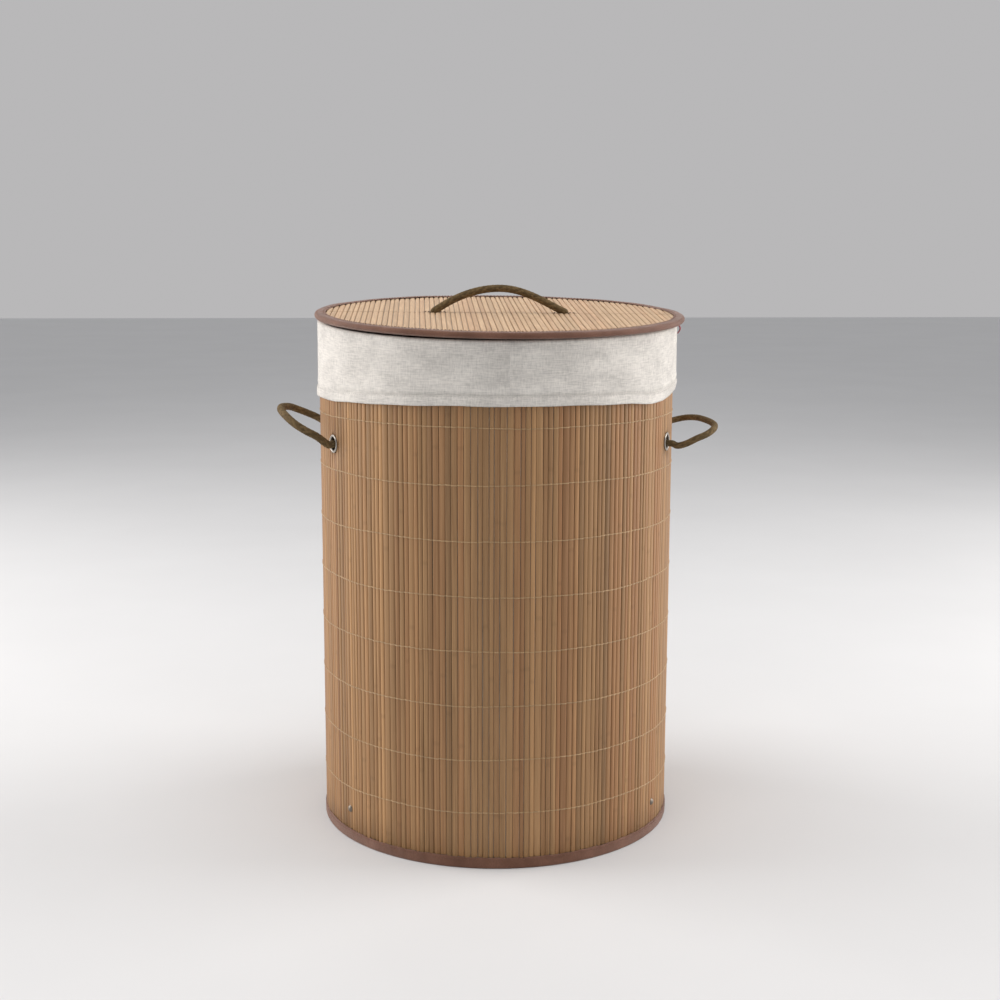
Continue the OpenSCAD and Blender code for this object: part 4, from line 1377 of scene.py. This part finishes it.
class HAMPER_OT_side_ropes(PieceOperator, bpy.types.Operator):
    """Two braided side handles, from knot to knot through their eyelets"""
    bl_idname = "hamper.side_ropes"
    bl_label = "Side ropes"

    def execute(self, context):
        wall = context.scene.hamper_wall
        ropes = context.scene.hamper_ropes
        material = braid("olive_rope", tuple(context.scene.hamper_colours.rope))
        for word, side, route in (("left", -1, LEFT_ROUTE), ("right", 1, RIGHT_ROUTE)):
            pivot = joint_place(f"{word}_handle_swing")
            half = abs(pivot[0]) / math.tan(wall.eyelet_angle)
            loop = np.array([(side * (abs(pivot[0]) + out * MM), back * half, pivot[2] + up * MM)
                             for out, back, up in route])
            line, knots = self.whole_route(loop, ropes)
            thick = ropes.slim_diameter if side == 1 else ropes.diameter
            piece = rope_piece(f"{word}_rope_handle", [(line, thick / 2, False)], ropes, material)
            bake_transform(piece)
            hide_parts(f"{word}_handle_rope")
            lumps = rope_piece(f"{word}_rope_knots",
                               [(knot, ropes.knot_diameter / 2, True) for knot in knots], ropes, material)
            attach(lumps, "hamper")
            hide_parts(f"{word}_handle_ends")
        return {"FINISHED"}

    def whole_route(self, loop, ropes):
        """The loop with its two straight ends, back through the eyelets along the wall's radii, and
        the knot at each end."""
        ends = []
        for tip in (loop[0], loop[-1]):
            inward = -np.array([tip[0], tip[1], 0.0]) / np.hypot(tip[0], tip[1])
            ends.append([tip + inward * d * MM for d in (5, 11, 18)])
        route = np.vstack([ends[0][::-1], loop, ends[1]])
        knots = [knot_line(points[-1], points[-1] - points[0], ropes.knot_size) for points in ends]
        return catmull_rom(route, 14), knots


class HAMPER_OT_lid_rope(PieceOperator, bpy.types.Operator):
    """Braided handle that arches over the lid, from knot to knot through its two holes.

    With u from -1 to 1 between the holes, it rises by rise * (1 - u^2), a little less on the right"""
    bl_idname = "hamper.lid_rope"
    bl_label = "Lid rope"

    def execute(self, context):
        lid = context.scene.hamper_lid
        ropes = context.scene.hamper_ropes
        material = braid("olive_rope", tuple(context.scene.hamper_colours.rope))
        reach = lid.hole_spacing / 2
        u = -np.cos(np.linspace(0, math.pi, 19))
        rise = lid.handle_rise * (1 - u ** 2) * (1 - 0.35 * np.maximum(u, 0) ** 2)
        arch = np.stack([1.012 * reach * u, 0 * u, lid.handle_foot + rise], -1)
        below = np.array([(1.0, 0, -7.5), (1.004, 0, -2.5), (1.022, 0, 2.0)]) * (reach, 0, MM)
        line = catmull_rom(np.vstack([below * (-1, 1, 1), arch, below[::-1]]), 6)
        piece = rope_piece("lid_rope_handle", [(on_lid(lid, line), ropes.diameter / 2, False)], ropes,
                           material)
        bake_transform(piece)
        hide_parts("lid_handle_rope")
        low = lid.pivot_height - 16.5 * MM
        places = np.array([(-reach, 0, low), (reach, 0, low)])
        knots = [knot_line(at, (0, 0, -1), ropes.knot_size) for at in places]
        lumps = rope_piece("lid_rope_knots",
                           [(on_lid(lid, knot), ropes.knot_diameter / 2, True) for knot in knots], ropes,
                           material)
        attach(lumps, "lid")
        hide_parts("lid_handle_ends")
        return {"FINISHED"}


# ---- Kept frame nodes ----


class HAMPER_OT_frame_finishes(PieceOperator, bpy.types.Operator):
    """Materials for the parts that keep the frame's own shape"""
    bl_idname = "hamper.frame_finishes"
    bl_label = "Frame finishes"

    def execute(self, context):
        colours = context.scene.hamper_colours
        brown = tape("brown_tape_inside", tuple(colours.tape), "Object")
        backing = woven("backing_cloth", tuple(colours.backing), 0.9 * MM, depth=0.12 * MM, slub=0.22,
                        sheen=0.15, source="Object")
        nickel = metal("nickel_plate", tuple(colours.nickel), 0.3)
        dull = metal("dull_rivets", tuple(colours.rivet), 0.42)
        zinc = metal("zinc_plate", tuple(colours.zinc), 0.34)
        wire = metal("spring_wire", tuple(colours.wire), 0.30)
        board = hardboard("base_hardboard", tuple(colours.board_dark), tuple(colours.board_light))
        finishes = {
            "wall_backing": backing, "seam_tape": backing, "lid_backing": backing,
            "top_binding": brown, "base_binding": brown,
            "top_hoop": wire, "bottom_hoop": wire, "lid_hoop": wire,
            "eyelet_washers": nickel, "rivets": dull, "rivet_washers": zinc,
            "base_clips": zinc, "base_board": board,
        }
        for name, material in finishes.items():
            for place_of in frame["nodes"][name].material_slots:
                place_of.material = material
        return {"FINISHED"}


# ---- Stage ----


class HAMPER_OT_stage(PieceOperator, bpy.types.Operator):
    """Pale floor, soft light from both sides and above, and the camera"""
    bl_idname = "hamper.stage"
    bl_label = "Stage"

    def execute(self, context):
        stage = context.scene.hamper_stage
        self.add_camera(context.scene, stage)
        self.add_floor(stage)
        world = bpy.data.worlds.new("surroundings")
        world.use_nodes = True
        background = world.node_tree.nodes["Background"]
        background.inputs["Color"].default_value = (*stage.sky, 1.0)
        background.inputs["Strength"].default_value = stage.sky_strength
        context.scene.world = world
        context.scene.view_settings.view_transform = "Standard"
        self.add_light("left_window", place_at=(-2.3, 0.55, 1.15), target=(0, 0, 0.25), wide=1.8,
                       tall=1.6, power=52, tint=stage.side_tint)
        self.add_light("right_screen", place_at=(2.3, 0.25, 1.05), target=(0, 0, 0.25), wide=1.7,
                       tall=1.6, power=47, tint=stage.side_tint)
        self.add_light("top_screen", place_at=(0.0, -0.5, 2.4), target=(0, 0, 0.4), wide=1.6,
                       tall=1.2, power=14, tint=stage.top_tint)
        return {"FINISHED"}

    def add_camera(self, scene, stage):
        """Camera on a circle round the axis, looking over it: turned first about the upright by its
        place and yaw, then down by the pitch, then about its own line of sight by the roll."""
        data = bpy.data.cameras.new("view_camera")
        data.lens = stage.camera_lens
        data.sensor_width = 36.0
        camera = bpy.data.objects.new("view_camera", data)
        bpy.context.collection.objects.link(camera)
        turn = stage.camera_turn
        place_at = Matrix.Translation((-stage.camera_distance * math.sin(turn),
                                       -stage.camera_distance * math.cos(turn), stage.camera_height))
        camera.matrix_world = (place_at @ Matrix.Rotation(-turn - stage.camera_yaw, 4, "Z")
                               @ Matrix.Rotation(math.pi / 2 - stage.camera_pitch, 4, "X")
                               @ Matrix.Rotation(stage.camera_roll, 4, "Z"))
        scene.camera = camera

    def add_floor(self, stage):
        """A flat square of floor, far wider than the view."""
        mesh = bpy.data.meshes.new("pale_floor")
        reach = stage.floor_reach
        corners = [(-reach, -reach, 0), (reach, -reach, 0), (reach, reach, 0), (-reach, reach, 0)]
        mesh.from_pydata(corners, [], [(0, 1, 2, 3)])
        floor = bpy.data.objects.new("pale_floor", mesh)
        bpy.context.collection.objects.link(floor)
        mesh.materials.append(plain_floor("floor_paint", tuple(stage.floor)))

    def add_light(self, name, place_at, target, wide, tall, power, tint):
        """A large soft screen that faces a target, with its sides in metres and its power in watts."""
        data = bpy.data.lights.new(name, "AREA")
        data.shape = "RECTANGLE"
        data.size = wide
        data.size_y = tall
        data.energy = power
        data.color = tint
        light = bpy.data.objects.new(name, data)
        bpy.context.collection.objects.link(light)
        direction = Vector(target) - Vector(place_at)
        light.rotation_euler = direction.to_track_quat("-Z", "Y").to_euler()
        light.location = place_at


# ---- Panel and registration ----


PIECES = [
    HAMPER_OT_stage, HAMPER_OT_wall_slats, HAMPER_OT_wall_threads, HAMPER_OT_bottom_tape,
    HAMPER_OT_eyelets, HAMPER_OT_liner, HAMPER_OT_lid_slats, HAMPER_OT_lid_tape, HAMPER_OT_lid_thread,
    HAMPER_OT_side_ropes, HAMPER_OT_lid_rope, HAMPER_OT_frame_finishes,
]


class HAMPER_PT_panel(bpy.types.Panel):
    """Lists the hamper's pieces and their settings"""
    bl_idname = "HAMPER_PT_panel"
    bl_label = "Laundry hamper"
    bl_space_type = "VIEW_3D"
    bl_region_type = "UI"
    bl_category = "Hamper"

    def draw(self, context):
        for name, group in SETTINGS.items():
            box = self.layout.box()
            for field in group.__annotations__:
                box.prop(getattr(context.scene, name), field)
        for piece in PIECES:
            self.layout.operator(piece.bl_idname)


def register():
    """Makes the settings, the operators and the panel known, in that order."""
    for group in SETTINGS.values():
        bpy.utils.register_class(group)
    for name, group in SETTINGS.items():
        setattr(bpy.types.Scene, name, PointerProperty(type=group))
    for piece in PIECES:
        bpy.utils.register_class(piece)
    bpy.utils.register_class(HAMPER_PT_panel)


def unregister():
    """Undoes register, in the opposite order."""
    bpy.utils.unregister_class(HAMPER_PT_panel)
    for piece in reversed(PIECES):
        bpy.utils.unregister_class(piece)
    for name in SETTINGS:
        delattr(bpy.types.Scene, name)
    for group in reversed(SETTINGS.values()):
        bpy.utils.unregister_class(group)


def main():
    """Builds every piece."""
    register()
    for piece in PIECES:
        group, name = piece.bl_idname.split(".")
        getattr(getattr(bpy.ops, group), name)()


if __name__ == "__main__":
    main()
